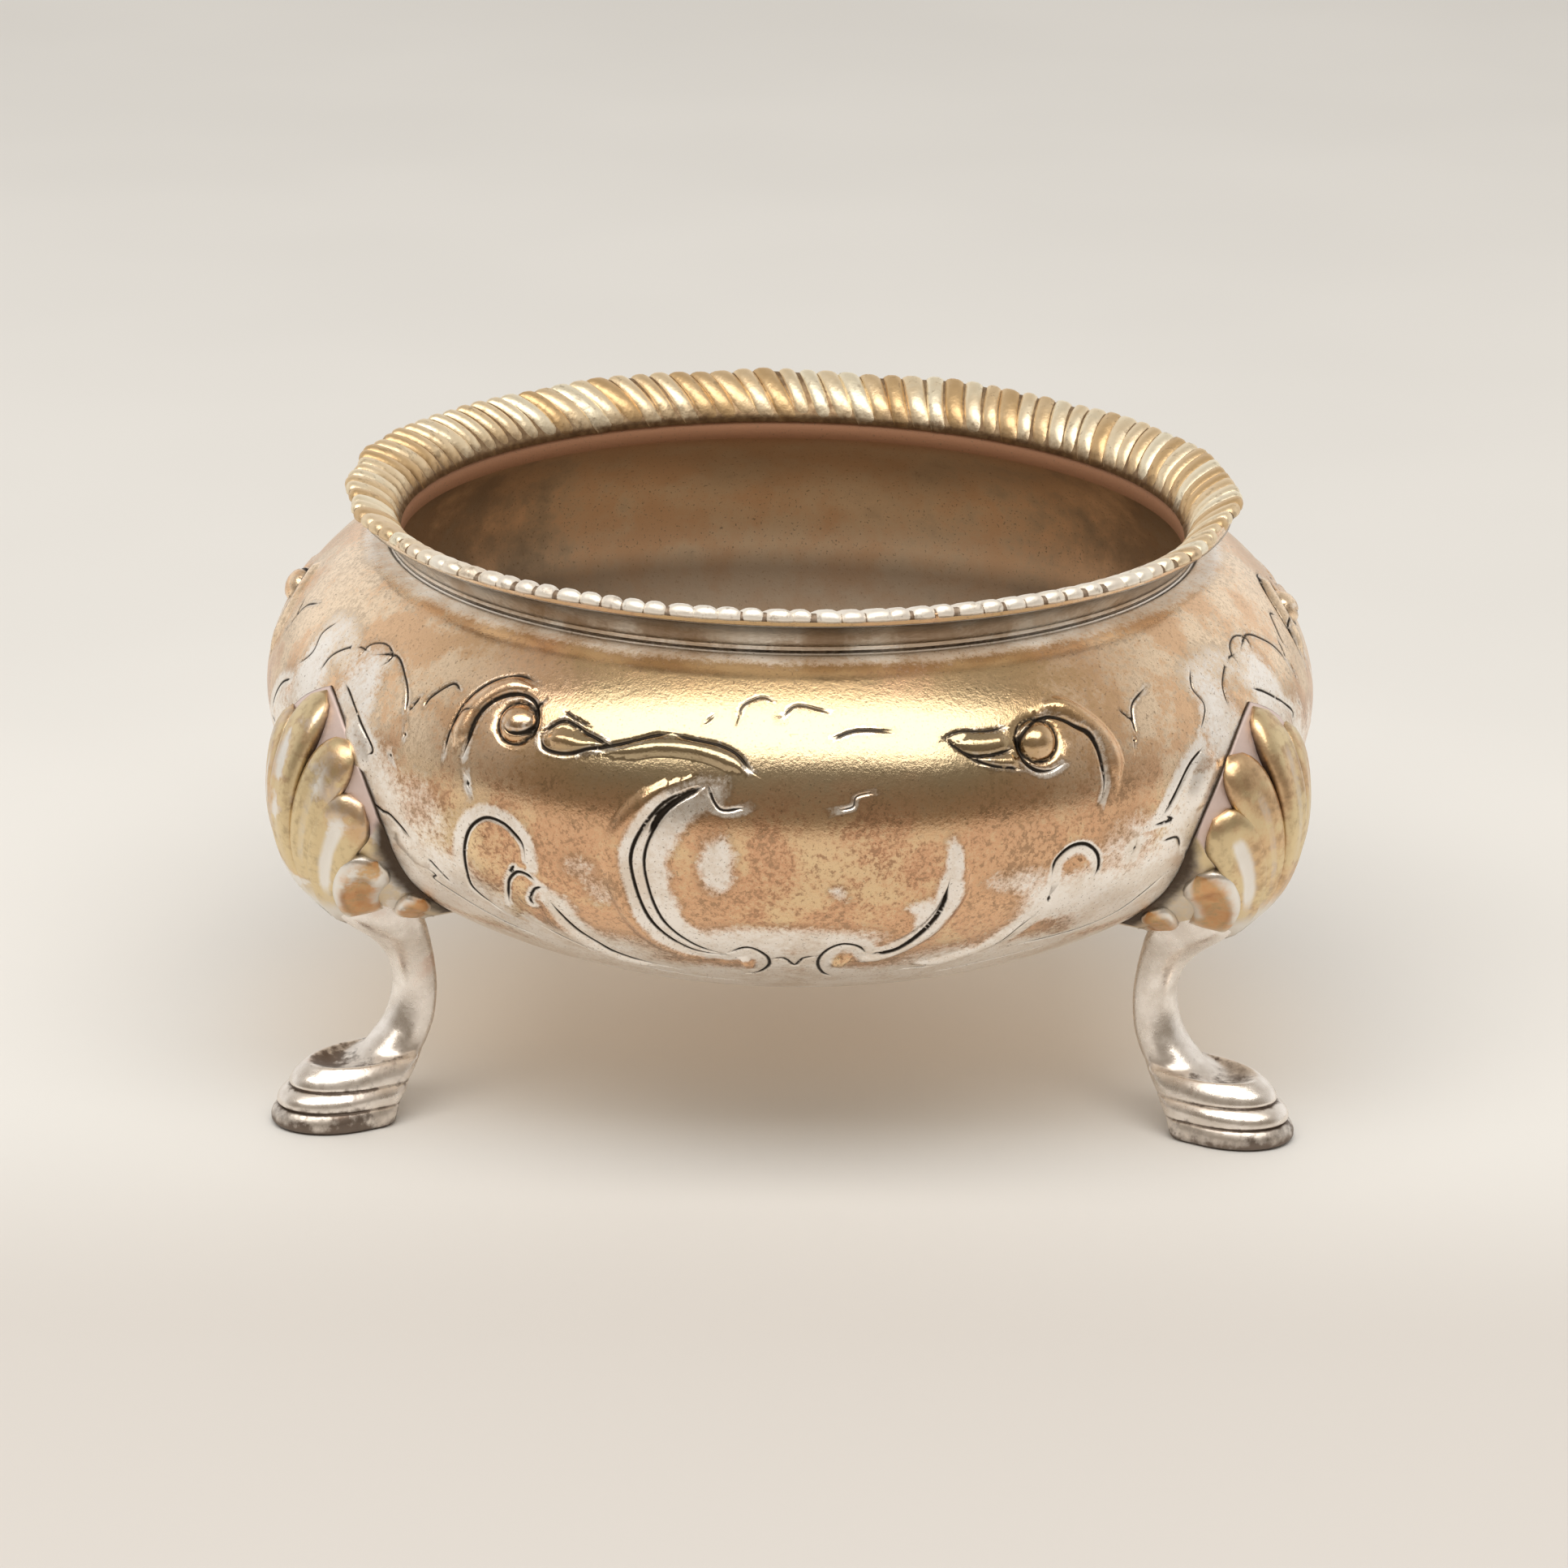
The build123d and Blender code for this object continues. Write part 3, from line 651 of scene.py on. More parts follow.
class Nodes:
    """A node tree and the one way nodes are added to it."""

    def __init__(self, tree):
        self.tree = tree

    def add(self, kind, settings=None, inputs=None, output=0):
        node = self.tree.nodes.new(kind)
        for setting, item in (settings or {}).items():
            setattr(node, setting, item)
        for socket, item in (inputs or {}).items():
            feed(self.tree, node.inputs[socket], item)
        return None if output is None else Value(self.tree, node.outputs[output])


def colour(item):
    """A colour for a socket: a value as it is, or red, green and blue with alpha."""
    return item if isinstance(item, Value) else (*item, 1.0)


class Finish(Nodes):
    """A finish under construction."""

    def __init__(self, name, kind="materials"):
        self.made = getattr(bpy.data, kind).new(name)
        self.made.use_nodes = True
        super().__init__(self.made.node_tree)
        self.tree.nodes.clear()

    def mark(self, name):
        return self.add("ShaderNodeAttribute", {"attribute_name": name}, output="Fac")

    def place(self):
        return self.add("ShaderNodeTexCoord", output="Object")

    def place_along(self, axis):
        return self.add("ShaderNodeSeparateXYZ", inputs={"Vector": self.place()}, output=axis)

    def noise(self, scale, detail=3.0, roughness=0.55):
        inputs = {"Vector": self.place(), "Scale": scale, "Detail": detail, "Roughness": roughness}
        return self.add("ShaderNodeTexNoise", inputs=inputs, output="Fac")

    def step(self, value, low, high):
        inputs = {"Value": value, "From Min": low, "From Max": high}
        return self.add("ShaderNodeMapRange", {"interpolation_type": "SMOOTHSTEP"}, inputs)

    def mix(self, share, a, b):
        """Colour between two, by a share."""
        inputs = {0: share, 6: colour(a), 7: colour(b)}
        return self.add("ShaderNodeMix", {"data_type": "RGBA"}, inputs, 2)

    def lay(self, shade, over, value, low, high, strength=None):
        """A colour laid over a shade where a value goes from low to high."""
        share = self.step(value, low, high)
        return self.mix(share if strength is None else share * strength, shade, over)

    def metal(self, shade, roughness, bump, strength, metallic=1.0):
        inputs = {"Strength": strength, "Distance": bump_depth, "Height": bump}
        bumped = self.add("ShaderNodeBump", inputs=inputs)
        shader = self.add("ShaderNodeBsdfPrincipled", inputs={
            "Base Color": shade, "Metallic": metallic, "Roughness": roughness, "Normal": bumped})
        return self.shown(shader, "ShaderNodeOutputMaterial")

    def shown(self, shader, output):
        self.add(output, inputs={"Surface": shader}, output=None)
        return self.made


# Colours of the worn plate, as red, green and blue
silver_white = (1.0, 0.95, 0.89)
silver_grey = (0.86, 0.77, 0.67)
copper = (0.80, 0.49, 0.29)
copper_red = (0.73, 0.39, 0.225)
golden = (0.62, 0.42, 0.22)
gold_light = (0.87, 0.65, 0.39)
cream = (0.44, 0.365, 0.235)
flank_sheen = (1.0, 0.79, 0.57)
flank_copper = (0.86, 0.57, 0.35)
umber = (0.22, 0.15, 0.09)
tarnish = (0.035, 0.028, 0.022)
copper_light = (0.80, 0.57, 0.36)
neck_grey, neck_white = (0.68, 0.57, 0.46), (0.98, 0.95, 0.90)
# Inside colours: pale copper, and darker tones painted as shade at its bottom, its top and its sides
inner_copper, inner_pale = (0.95, 0.68, 0.44), (1.0, 0.84, 0.62)
inner_bottom_shade, inner_shade, inner_side_shade = (0.12, 0.065, 0.03), (0.24, 0.15, 0.08), (0.14, 0.09, 0.05)
throat_copper = (0.46, 0.24, 0.14)
lobe_gold, lobe_pale = (0.70, 0.49, 0.26), (0.88, 0.70, 0.46)
lobe_cream, lobe_front_sheen, groove_brown = (0.97, 0.89, 0.70), (1.0, 0.97, 0.92), (0.22, 0.14, 0.08)
leg_grey, leg_white = (0.78, 0.71, 0.64), (0.96, 0.90, 0.84)
leg_warm, leg_brown = (0.70, 0.52, 0.42), (0.13, 0.09, 0.065)
shell_gold, shell_brown = (0.75, 0.60, 0.36), (0.73, 0.50, 0.29)
shell_orange, shell_amber = (0.68, 0.37, 0.175), (0.74, 0.52, 0.28)
shell_silver, pocket_pink, joint_and_shade_brown = (0.86, 0.82, 0.76), (0.84, 0.70, 0.66), (0.085, 0.06, 0.042)

bump_depth = 0.0004    # metres


def chased_sheet_finish():
    """Bowl: silver worn to copper and golden brown, silver left beside the chasing, tarnish in it.

    Heights z and ragged_z are in metres.
    """
    f = Finish("chased_sheet")
    x, z = f.place_along("X"), f.place_along("Z")
    aside = x * x * 1000.0    # 0 in the middle, 1 at 32 mm to either side
    broad, patchy = f.noise(55.0, 3.0), f.noise(230.0, 5.0, 0.65)
    grain, speck = f.noise(2400.0, 4.0, 0.75), f.noise(5200.0, 2.0, 0.5)
    broad_off, patch_off, grain_off = broad - 0.5, patchy - 0.5, grain - 0.5
    ragged = patch_off * 0.8 + grain_off * 0.9
    ragged_z = z + ragged * 0.002

    # The belly: copper worn through, lighter and darker by patches
    worn = f.lay(copper, copper_red, broad + ragged * 0.5, 0.4, 0.62)
    worn = f.lay(worn, gold_light, patchy + broad_off + grain_off * 0.6, 0.46, 0.7)
    worn = f.lay(worn, copper_light, grain, 0.5, 0.62, 0.45)
    worn = f.lay(worn, umber, grain + patch_off * 0.4, 0.49, 0.38, 0.55)

    # The shoulder: golden, paler at the flanks as a painted sheen over its mottled colour, clean in front,
    # with a cream tone painted where the softbox's highlight falls
    high = f.lay(golden, copper, broad + ragged * 0.35, 0.4, 0.62)
    # Painted sheen: the flanks paler than the middle, over a real mottle of copper
    side = f.lay(flank_sheen, flank_copper, patchy + broad_off * 0.8 + grain_off * 0.5, 0.58, 0.42)
    high = f.lay(high, side, aside + ragged * 0.5, 0.15, 0.75)
    high = f.lay(high, umber, grain + broad_off * 0.5, 0.46, 0.7, 0.34)
    clean = f.step(aside + ragged * 0.2, 0.55, 0.2) * f.step(ragged_z, 0.0285, 0.033)
    clean = clean * f.step(ragged_z, 0.041, 0.037)
    # Painted highlight tone: cream laid only in the band where the softbox's highlight falls, setting its
    # colour
    highlight_tone = clean * f.step(ragged_z, 0.0305, 0.0345) * f.step(aside, 0.42, 0.12)
    high = f.mix(highlight_tone * 0.85, high, cream)
    shade = f.lay(worn, high, z + patch_off * 0.008, 0.0285, 0.0345)

    # Silver left beside the chasing, and the polished neck
    silver = f.mark("silver")
    bare = f.step(silver + ragged * 0.9, 0.25, 0.78)
    silver_tone = f.lay(silver_grey, silver_white, patchy + grain_off * 0.6, 0.35, 0.62)
    fringe = f.step(silver + ragged * 0.7, 0.12, 0.3) * (1 - bare)
    shade = f.mix(bare, f.mix(fringe * 0.25, shade, umber), silver_tone)
    polish = f.mark("polish")
    streak = f.step(f.noise(160.0, 2.0) + grain_off * 0.3, 0.42, 0.6)
    shade = f.mix(polish, shade, f.mix(streak, neck_grey, neck_white))

    # The inside: painted shade, darker towards the bottom, at the top under the neck and towards the sides
    inside = f.mark("inside")
    inner = f.lay(inner_copper, inner_pale, patchy + broad_off * 0.7, 0.35, 0.68)
    inner = f.lay(inner, inner_bottom_shade, z, 0.0285, 0.026, 0.68)
    inner = f.lay(inner, inner_shade, z + broad_off * 0.008, 0.032, 0.037, 0.6)
    side_shade = f.step(aside + patch_off * 1.2 + broad_off, 0.2, 0.75)
    inner = f.mix(side_shade * 0.65, inner, inner_side_shade)
    inner = f.lay(inner, throat_copper, z, 0.0375, 0.0395)
    shade = f.mix(inside, shade, inner)

    # Pits and tarnish
    pits = f.step(speck, 0.62, 0.72) * 0.6
    shade = f.mix(pits * (1 - polish), shade, umber)
    dark = f.mark("dark")
    shade = f.lay(shade, tarnish, dark + grain_off * 0.3 + patch_off * 0.4, 0.25, 0.75)
    worn_rough = 0.25 - clean * 0.12 + bare * 0.12 + inside * 0.3 + grain_off * 0.2
    roughness = worn_rough * (1 - polish) + polish * 0.2 + f.step(dark, 0.3, 0.8) * 0.3
    bump = grain * 0.5 + speck * 0.25 + patchy * 0.8
    return f.metal(shade, roughness, bump, 0.1, 1 - inside * 0.85)


def border_finish():
    """Border: cream, gold and copper lobes of uneven tone, brown in the grooves; whiter in front, a painted
    sheen.
    """
    f = Finish("gadroon_metal")
    tone = f.mark("tone")
    patchy, grain = f.noise(300.0, 4.0, 0.6), f.noise(1500.0, 3.0, 0.6)
    patch_off, grain_off = patchy - 0.5, grain - 0.5
    mixed = tone + patch_off * 0.9
    shade = f.lay(lobe_gold, lobe_pale, mixed, 0.0, 0.6)
    shade = f.lay(shade, lobe_cream, mixed, 0.4, 1.05)
    # Painted sheen: the lobes of the front half whiter, and their grooves lighter
    front = f.step(f.place_along("Y") + patch_off * 0.02, -0.01, -0.03)
    shade = f.mix(front * 0.85, shade, lobe_front_sheen)
    shade = f.lay(shade, umber, grain + patch_off * 0.5, 0.58, 0.72, 0.4)
    dark = f.mark("dark") * (1 - front * f.step(tone, 0.34, 0.2) * 0.5)
    shade = f.lay(shade, groove_brown, dark + grain_off * 0.5, 0.3, 0.9)
    roughness = 0.42 + grain_off * 0.2 + dark * 0.15 + front * 0.12
    return f.metal(shade, roughness, grain + patchy, 0.15)


def leg_finish():
    """Legs and feet: silver with warm worn spots, brown in the hollows."""
    f = Finish("leg_silver")
    broad, patchy, grain = f.noise(120.0, 3.0), f.noise(420.0, 4.0, 0.6), f.noise(1500.0, 3.0, 0.6)
    broad_off, patch_off, grain_off = broad - 0.5, patchy - 0.5, grain - 0.5
    shade = f.lay(leg_grey, leg_white, patchy, 0.35, 0.65)
    shade = f.lay(shade, leg_warm, broad + patch_off * 0.6, 0.58, 0.72, 0.7)
    z = f.place_along("Z")
    low = f.step(z + patch_off * 0.003, 0.003, 0.0)
    foot = f.step(z, 0.010, 0.006) * f.step(patchy + broad_off * 0.8 + grain_off * 0.4, 0.4, 0.76)
    dark = f.mark("dark") + low * 0.35 + patch_off * 0.8 * low + foot * 0.45
    shade = f.lay(shade, leg_brown, dark + grain_off * 0.7, 0.3, 0.9, 0.9)
    roughness = 0.27 + grain_off * 0.2 + dark * 0.2
    return f.metal(shade, roughness, grain * 0.4 + patchy, 0.12)


def shell_finish():
    """Shells: golden lobes, silver left in the flutes, pale pink pockets, dark joints, painted shade on the
    plate's low side.
    """
    f = Finish("shell_brass")
    broad, patchy, grain = f.noise(150.0, 3.0), f.noise(420.0, 4.0, 0.6), f.noise(1500.0, 3.0, 0.6)
    broad_off, patch_off, grain_off = broad - 0.5, patchy - 0.5, grain - 0.5
    ragged = patch_off * 0.8 + grain_off * 0.5
    shade = f.lay(shell_gold, shell_brown, broad + ragged * 0.6, 0.42, 0.62)
    rubbed = f.lay(shell_orange, shell_amber, ragged, -0.2, 0.2)
    shade = f.mix(f.mark("worn"), shade, rubbed)
    shade = f.lay(shade, umber, grain + patch_off * 0.8, 0.42, 0.8, 0.4)
    left = f.step(f.place_along("X"), 0.0, -0.03) * f.step(patchy + broad_off, 0.44, 0.6)
    silver = f.mark("silver") + left * 0.35
    shade = f.lay(shade, shell_silver, silver + ragged * 0.6, 0.22, 0.8)
    pink = f.mark("pink")
    shade = f.lay(shade, pocket_pink, pink + ragged * 0.2, 0.4, 0.6)
    # Dark joints, with painted shade on the plate's low side under the lower lobes
    dark = f.mark("dark")
    shade = f.lay(shade, joint_and_shade_brown, dark + broad_off * 0.5 + grain_off * 0.15, 0.3, 0.8)
    roughness = 0.33 + grain_off * 0.25 + f.step(pink, 0.4, 0.6) * 0.2 + dark * 0.2
    return f.metal(shade, roughness, grain * 0.5 + patchy, 0.14)


bowl_finish = chased_sheet_finish()
gadroon_finish = border_finish()
casting_finish = leg_finish()
knee_finish = shell_finish()


# Gadrooned border

lobe_reach = 54.0          # degrees of the lip's curve under a lobe
arc_share = 0.8            # share of a lobe's length that lies on that curve
curl_radius = 0.38
curl_turn = 115.0          # degrees a lobe's end curls down over the edge
lobe_height = 0.38
lobe_slant = 2.5
slant_end = 0.84           # share of a lobe's length after which it runs straight
lobe_count = 120
lobe_centre_radius = 32.5
lobe_wave = 2.6            # size of the noise that moves the lobes out and in
border_seat = 0.12         # height of the border's seat over the lip's sheet
border_sink = 0.05         # how far its edges dip below the seat
strip_height = 0.08


def border_line(share, room):
    """Place over the lip, from the throat along the lip's curve and down over its edge."""
    seat = lip_arc + wall + border_seat
    if share < arc_share:
        angle = lip_end + lobe_reach * (1 - share / arc_share)
        return arc(lip_centre, seat + room, angle, angle, 1)[0]
    hub = arc(lip_centre, seat - curl_radius, lip_end, lip_end, 1)[0]
    angle = lip_end - curl_turn * (share - arc_share) / (1 - arc_share)
    return arc(hub, curl_radius + room, angle, angle, 1)[0]


def lobe_object():
    """One slanted lobe, in its own frame: X outwards, Y round the lip, Z up, from the crest circle."""
    shares = np.concatenate([np.linspace(0, arc_share, 9), np.linspace(slant_end, 1, 5)])
    across = 9
    points, dark = [], []
    for share in shares:
        swell = min(1, 0.1 + 3 * share, 0.45 + 4 * (1 - share))
        half = 0.86 + 0.06 * share
        slant = lobe_slant * (min(share, slant_end) - 0.5)
        for k in range(across):
            cos = math.cos(math.pi * k / (across - 1))
            from_edge = min(k, across - 1 - k)
            lift = lobe_height * swell * (1 - abs(cos) ** 3) if from_edge else -border_sink
            out, up = border_line(share, lift)
            points.append((out - lobe_centre_radius, half * cos + slant, up))
            dark.append((1.0, 0.45)[from_edge] if from_edge < 2 else max(0.8 - 1.8 * share, 0))
    return make_piece("lobe", points, tube_faces(len(shares), across), gadroon_finish, {"dark": dark})


def border_ring():
    """The plain strip under the lobes, closed round the lip."""
    shares = np.concatenate([np.linspace(0, arc_share, 8), np.linspace(0.85, 1, 4)])
    top = [border_line(share, strip_height) for share in shares[::-1]]
    line = np.array(top + [border_line(share, -border_sink) for share in shares])
    count, around = len(line), 240
    turn = np.radians(np.arange(around) * 360 / around)
    points = revolved(line, turn).transpose(1, 0, 2).reshape(-1, 3)
    faces = []
    for i in range(around):
        a, b = i * count, (i + 1) % around * count
        faces += [(a + k, b + k, b + (k + 1) % count, a + (k + 1) % count) for k in range(count)]
    marks = {"dark": [0.75] * len(points), "tone": [0.4] * len(points)}
    return make_piece("gadroon_border_lobes", points, faces, gadroon_finish, marks)


def gadroon_tree():
    """Lobes set round the lip on a circle of points, uneven in width, height and place."""
    tree = bpy.data.node_groups.new("gadroon_lobes", "GeometryNodeTree")
    sockets = {"Strip": "Geometry", "Lobe": "Object", "Lobes": "Int", "Circle": "Float", "Wave": "Float",
               "Seed": "Int", "Metal": "Material"}
    for name, kind in sockets.items():
        tree.interface.new_socket(name, in_out="INPUT", socket_type="NodeSocket" + kind)
    tree.interface.new_socket("Border", in_out="OUTPUT", socket_type="NodeSocketGeometry")
    add = Nodes(tree).add
    given = {socket.name: Value(tree, socket) for socket in tree.nodes.new("NodeGroupInput").outputs}

    def random(low, high):
        settings, inputs = {"data_type": "FLOAT"}, {2: low, 3: high, "Seed": given["Seed"]}
        return add("FunctionNodeRandomValue", settings, inputs, 1)

    def vector(operation, inputs, output=0):
        return add("ShaderNodeVectorMath", {"operation": operation}, inputs, output)

    circle = add("GeometryNodeMeshCircle", inputs={"Vertices": given["Lobes"], "Radius": given["Circle"]})
    turn = add("GeometryNodeInputIndex").sum("DIVIDE", given["Lobes"]) * (2 * math.pi)
    spin = add("ShaderNodeCombineXYZ", inputs={"Z": turn + random(-0.01, 0.01)})
    wide = add("FunctionNodeRandomValue", {"data_type": "FLOAT_VECTOR"},
               {0: (0.97, 0.78, 1.0), 1: (1.03, 1.16, 1.0), "Seed": given["Seed"]})
    original = {"transform_space": "ORIGINAL"}
    lobe = add("GeometryNodeObjectInfo", original, {"Object": given["Lobe"]}, "Geometry")
    placed = add("GeometryNodeInstanceOnPoints",
                 inputs={"Points": circle, "Instance": lobe, "Rotation": spin, "Scale": wide})
    stored = add("GeometryNodeStoreNamedAttribute", {"data_type": "FLOAT", "domain": "INSTANCE"},
                 {"Geometry": placed, "Name": "tone", "Value": random(0.0, 1.0)})
    real = add("GeometryNodeRealizeInstances", inputs={"Geometry": stored})
    joined = tree.nodes.new("GeometryNodeJoinGeometry")
    for part in (given["Strip"], real):
        feed(tree, joined.inputs[0], part)
    flat = vector("MULTIPLY", {0: add("GeometryNodeInputPosition"), 1: (1.0, 1.0, 0.0)})
    radius = vector("LENGTH", {0: flat}, "Value")
    outer = add("ShaderNodeMapRange", inputs={"Value": radius, "From Min": 0.0312, "From Max": 0.0336})
    noise = add("ShaderNodeTexNoise", inputs={"Vector": flat, "Scale": 110.0, "Detail": 1.0})
    wander = (noise - 0.5) * given["Wave"] * outer
    way = vector("ADD", {0: vector("NORMALIZE", {0: flat}), 1: (0.0, 0.0, 0.25)})
    shift = vector("SCALE", {0: way, "Scale": wander})
    whole = Value(tree, joined.outputs[0])
    moved = add("GeometryNodeSetPosition", inputs={"Geometry": whole, "Offset": shift})
    metal = add("GeometryNodeSetMaterial", inputs={"Geometry": moved, "Material": given["Metal"]})
    add("NodeGroupOutput", inputs={0: metal}, output=None)
    return tree


def make_border():
    """The border as one plain mesh, its lobes placed by the node tree."""
    strip = border_ring()
    lobe = lobe_object()
    modifier = strip.modifiers.new("gadroons", "NODES")
    modifier.node_group = gadroon_tree()
    given = {"Lobe": lobe, "Lobes": lobe_count, "Circle": lobe_centre_radius * MM, "Wave": lobe_wave * MM,
             "Seed": 7, "Metal": gadroon_finish}
    for item in modifier.node_group.interface.items_tree:
        if item.item_type == "SOCKET" and item.name in given:
            modifier[item.identifier] = given[item.name]
    graph = bpy.context.evaluated_depsgraph_get()
    mesh = bpy.data.meshes.new_from_object(strip.evaluated_get(graph))
    strip.modifiers.clear()
    strip.data = mesh
    mesh.polygons.foreach_set("use_smooth", [True] * len(mesh.polygons))
    bpy.data.objects.remove(lobe)
    return strip


# Legs

# Rings of a leg from the sole up: height at the back and front, back, front, width, brown in the hollow
leg_rings = [
    (0.0, 0.0, 35.1, 43.3, 7.5, 0.9), (0.3, 0.3, 34.9, 43.75, 8.05, 0.7),
    (0.9, 0.9, 34.7, 43.75, 8.05, 0.35), (1.4, 1.4, 34.5, 43.4, 7.7, 0.4),
    (1.55, 1.55, 34.4, 43.1, 7.4, 1.0), (1.8, 1.75, 34.25, 43.35, 7.6, 0.3),
    (2.4, 2.3, 33.9, 43.2, 7.5, 0.0), (2.9, 2.8, 33.6, 42.6, 6.95, 0.35),
    (3.05, 2.95, 33.5, 42.2, 6.6, 1.0), (3.3, 3.2, 33.35, 42.4, 6.75, 0.2),
    (3.9, 3.8, 32.95, 42.1, 6.5, 0.0), (4.45, 4.35, 32.55, 41.4, 5.95, 0.1),
    (4.7, 4.6, 32.4, 40.9, 5.55, 0.15), (4.9, 4.45, 32.25, 40.3, 5.2, 0.5),
    (5.2, 4.15, 32.1, 39.3, 4.9, 0.7), (5.5, 4.15, 31.9, 38.1, 4.65, 0.5),
    (6.0, 4.6, 31.65, 36.8, 4.4, 0.3), (6.6, 5.6, 31.4, 35.7, 4.2, 0.1),
    (7.4, 6.9, 31.15, 34.6, 4.05, 0.0), (8.9, 8.7, 30.95, 33.9, 3.9, 0.0),
    (10.4, 10.4, 30.95, 33.8, 3.9, 0.0), (12.0, 12.2, 31.2, 34.4, 4.3, 0.0),
    (13.2, 13.8, 31.5, 35.8, 5.1, 0.0), (14.2, 15.2, 31.8, 37.7, 6.0, 0.05),
    (15.4, 16.8, 32.2, 39.3, 6.6, 0.1), (17.5, 19.5, 33.2, 40.3, 6.2, 0.2),
    (20.2, 22.5, 34.8, 40.4, 5.6, 0.5), (21.6, 24.0, 36.0, 40.0, 5.0, 0.8),
]
leg_sides = 48
leg_seat = 0.04            # room to the bowl's surface


def ring_outline(back, front, width, around):
    """Flat-backed round outline: distance out and across, at angles from the front."""
    middle = back + (front - back) * 0.42
    cos, sin = np.cos(around), np.sin(around)
    ahead = middle + (front - middle) * cos
    behind = middle - (middle - back) * np.abs(cos) ** 0.35
    out = np.where(cos >= 0, ahead, behind)
    side = np.where(cos >= 0, np.abs(sin), np.abs(sin) ** 0.6 * (0.85 + 0.15 * np.abs(sin)))
    return out, np.sign(sin) * side * width / 2


def off_the_bowl(points, room):
    """Points pushed outwards so that none stands inside the bowl's surface."""
    points = np.array(points, dtype=float)
    out = np.hypot(points[:, 0], points[:, 1])
    need = bowl_radius(points[:, 2]) + room
    grow = np.where(out < need, need / out, 1.0)
    points[:, :2] *= grow[:, None]
    return points


def make_leg(place, turn):
    """Cast leg with its stepped hoof foot, lofted through flat-backed rings and closed at both ends."""
    rows = smooth_rows(leg_rings, 4)
    around = np.linspace(0, 2 * math.pi, leg_sides, endpoint=False)
    points, dark = [], []
    for back_z, front_z, back, front, width, hollow in rows:
        out, side = ring_outline(back, front, width, around)
        share = (out - back) / (front - back)
        points.append(np.stack([out, side, back_z + (front_z - back_z) * share], -1))
        dark.append(np.clip(hollow, 0, 1) * (0.35 + 0.65 * share))
    points = off_the_bowl(np.vstack(points), leg_seat)
    points[:, 2] = np.maximum(points[:, 2], 0)
    faces, marks = tube_faces(len(rows), leg_sides), {"dark": np.concatenate(dark)}
    return make_piece("leg_cast_" + place, turned(points, turn), faces, casting_finish, marks)


# Knee shells

root_height = 14.6
root_rise = 8.5
shell_seat = 0.03          # room to the bowl's surface
lobe_rings, lobe_sides = 30, 14

# Lobes of the shell: half width, the root's share of it, height, how deep the flute is, where the silver
# lies, from 1 in the flute to -1 along the border, and the middle line, across and up, from root to tip
shell_lobes = [
    (2.3, 0.25, 1.0, 0.3, 0.45, [(0, 15.0), (0, 19), (0, 23), (0, 27), (0, 30.5), (0, 33.7)]),
    (2.25, 0.25, 1.0, 0.35, 0.45, [(0.5, 15.0), (1.1, 18.5), (1.8, 21.5), (2.7, 24.5), (3.5, 27.4),
        (4.2, 29.5), (4.9, 31.3)]),
    (2.4, 0.4, 1.0, 0.8, 1.0, [(0.9, 15.0), (1.8, 17.6), (2.8, 19.9), (3.8, 22), (4.8, 24), (5.6, 25.3),
        (6.3, 26.3), (7.0, 27)]),
    (2.2, 0.55, 0.95, 0.6, -1.0, [(1.4, 15.2), (2.4, 17.0), (3.5, 18.7), (4.6, 20.2), (5.7, 21.5),
        (6.5, 22.3)]),
    (1.45, 0.5, 0.75, 0.4, -0.8, [(1.9, 15.0), (2.8, 16.2), (3.7, 17.1), (4.5, 17.8), (5.1, 18.2)]),
]


def bowl_out(across, up):
    """How far out the bowl's surface stands at a place across and up."""
    return np.sqrt(np.maximum(bowl_radius(up) ** 2 - across ** 2, 1))


def plate_edge(lean):
    """Length of the plate from the root to its edge, by degrees from upright."""
    return np.interp(lean, [0, 8, 16, 24, 31, 38, 42, 48, 56, 64, 72, 86],
                     [19.4, 18.4, 17.3, 16.1, 14.9, 13.1, 11.0, 8.2, 6.2, 4.5, 3.6, 2.8])


def knee_out(across, up):
    """How far out the shell's face stands: the leg's knee at the root, the bowl at the plate's edge."""
    lean = np.degrees(np.arctan2(np.abs(across), np.maximum(up - root_height, 1e-6)))
    share = np.clip(np.hypot(across, up - root_height) / plate_edge(lean), 0, 1)
    return bowl_out(across, up) + 0.2 + root_rise * (1 - share) ** 1.15


def knee_facing(across, up):
    """Outward normals of the shell's face."""
    probe = 0.15
    lean_across = (knee_out(across + probe, up) - knee_out(across - probe, up)) / (2 * probe)
    lean_up = (knee_out(across, up + probe) - knee_out(across, up - probe)) / (2 * probe)
    return unit(np.stack([np.ones(len(across)), -lean_across, -lean_up], -1))


def lobe_path(middle_line, hand, count):
    """Middle line of a lobe in even steps: share along it, across and up."""
    rows = smooth_rows(middle_line, 12)
    run = np.concatenate([[0], np.cumsum(np.linalg.norm(np.diff(rows, axis=0), axis=1))])
    s = np.linspace(0, 1, count)
    return s, hand * np.interp(s * run[-1], run, rows[:, 0]), np.interp(s * run[-1], run, rows[:, 1])


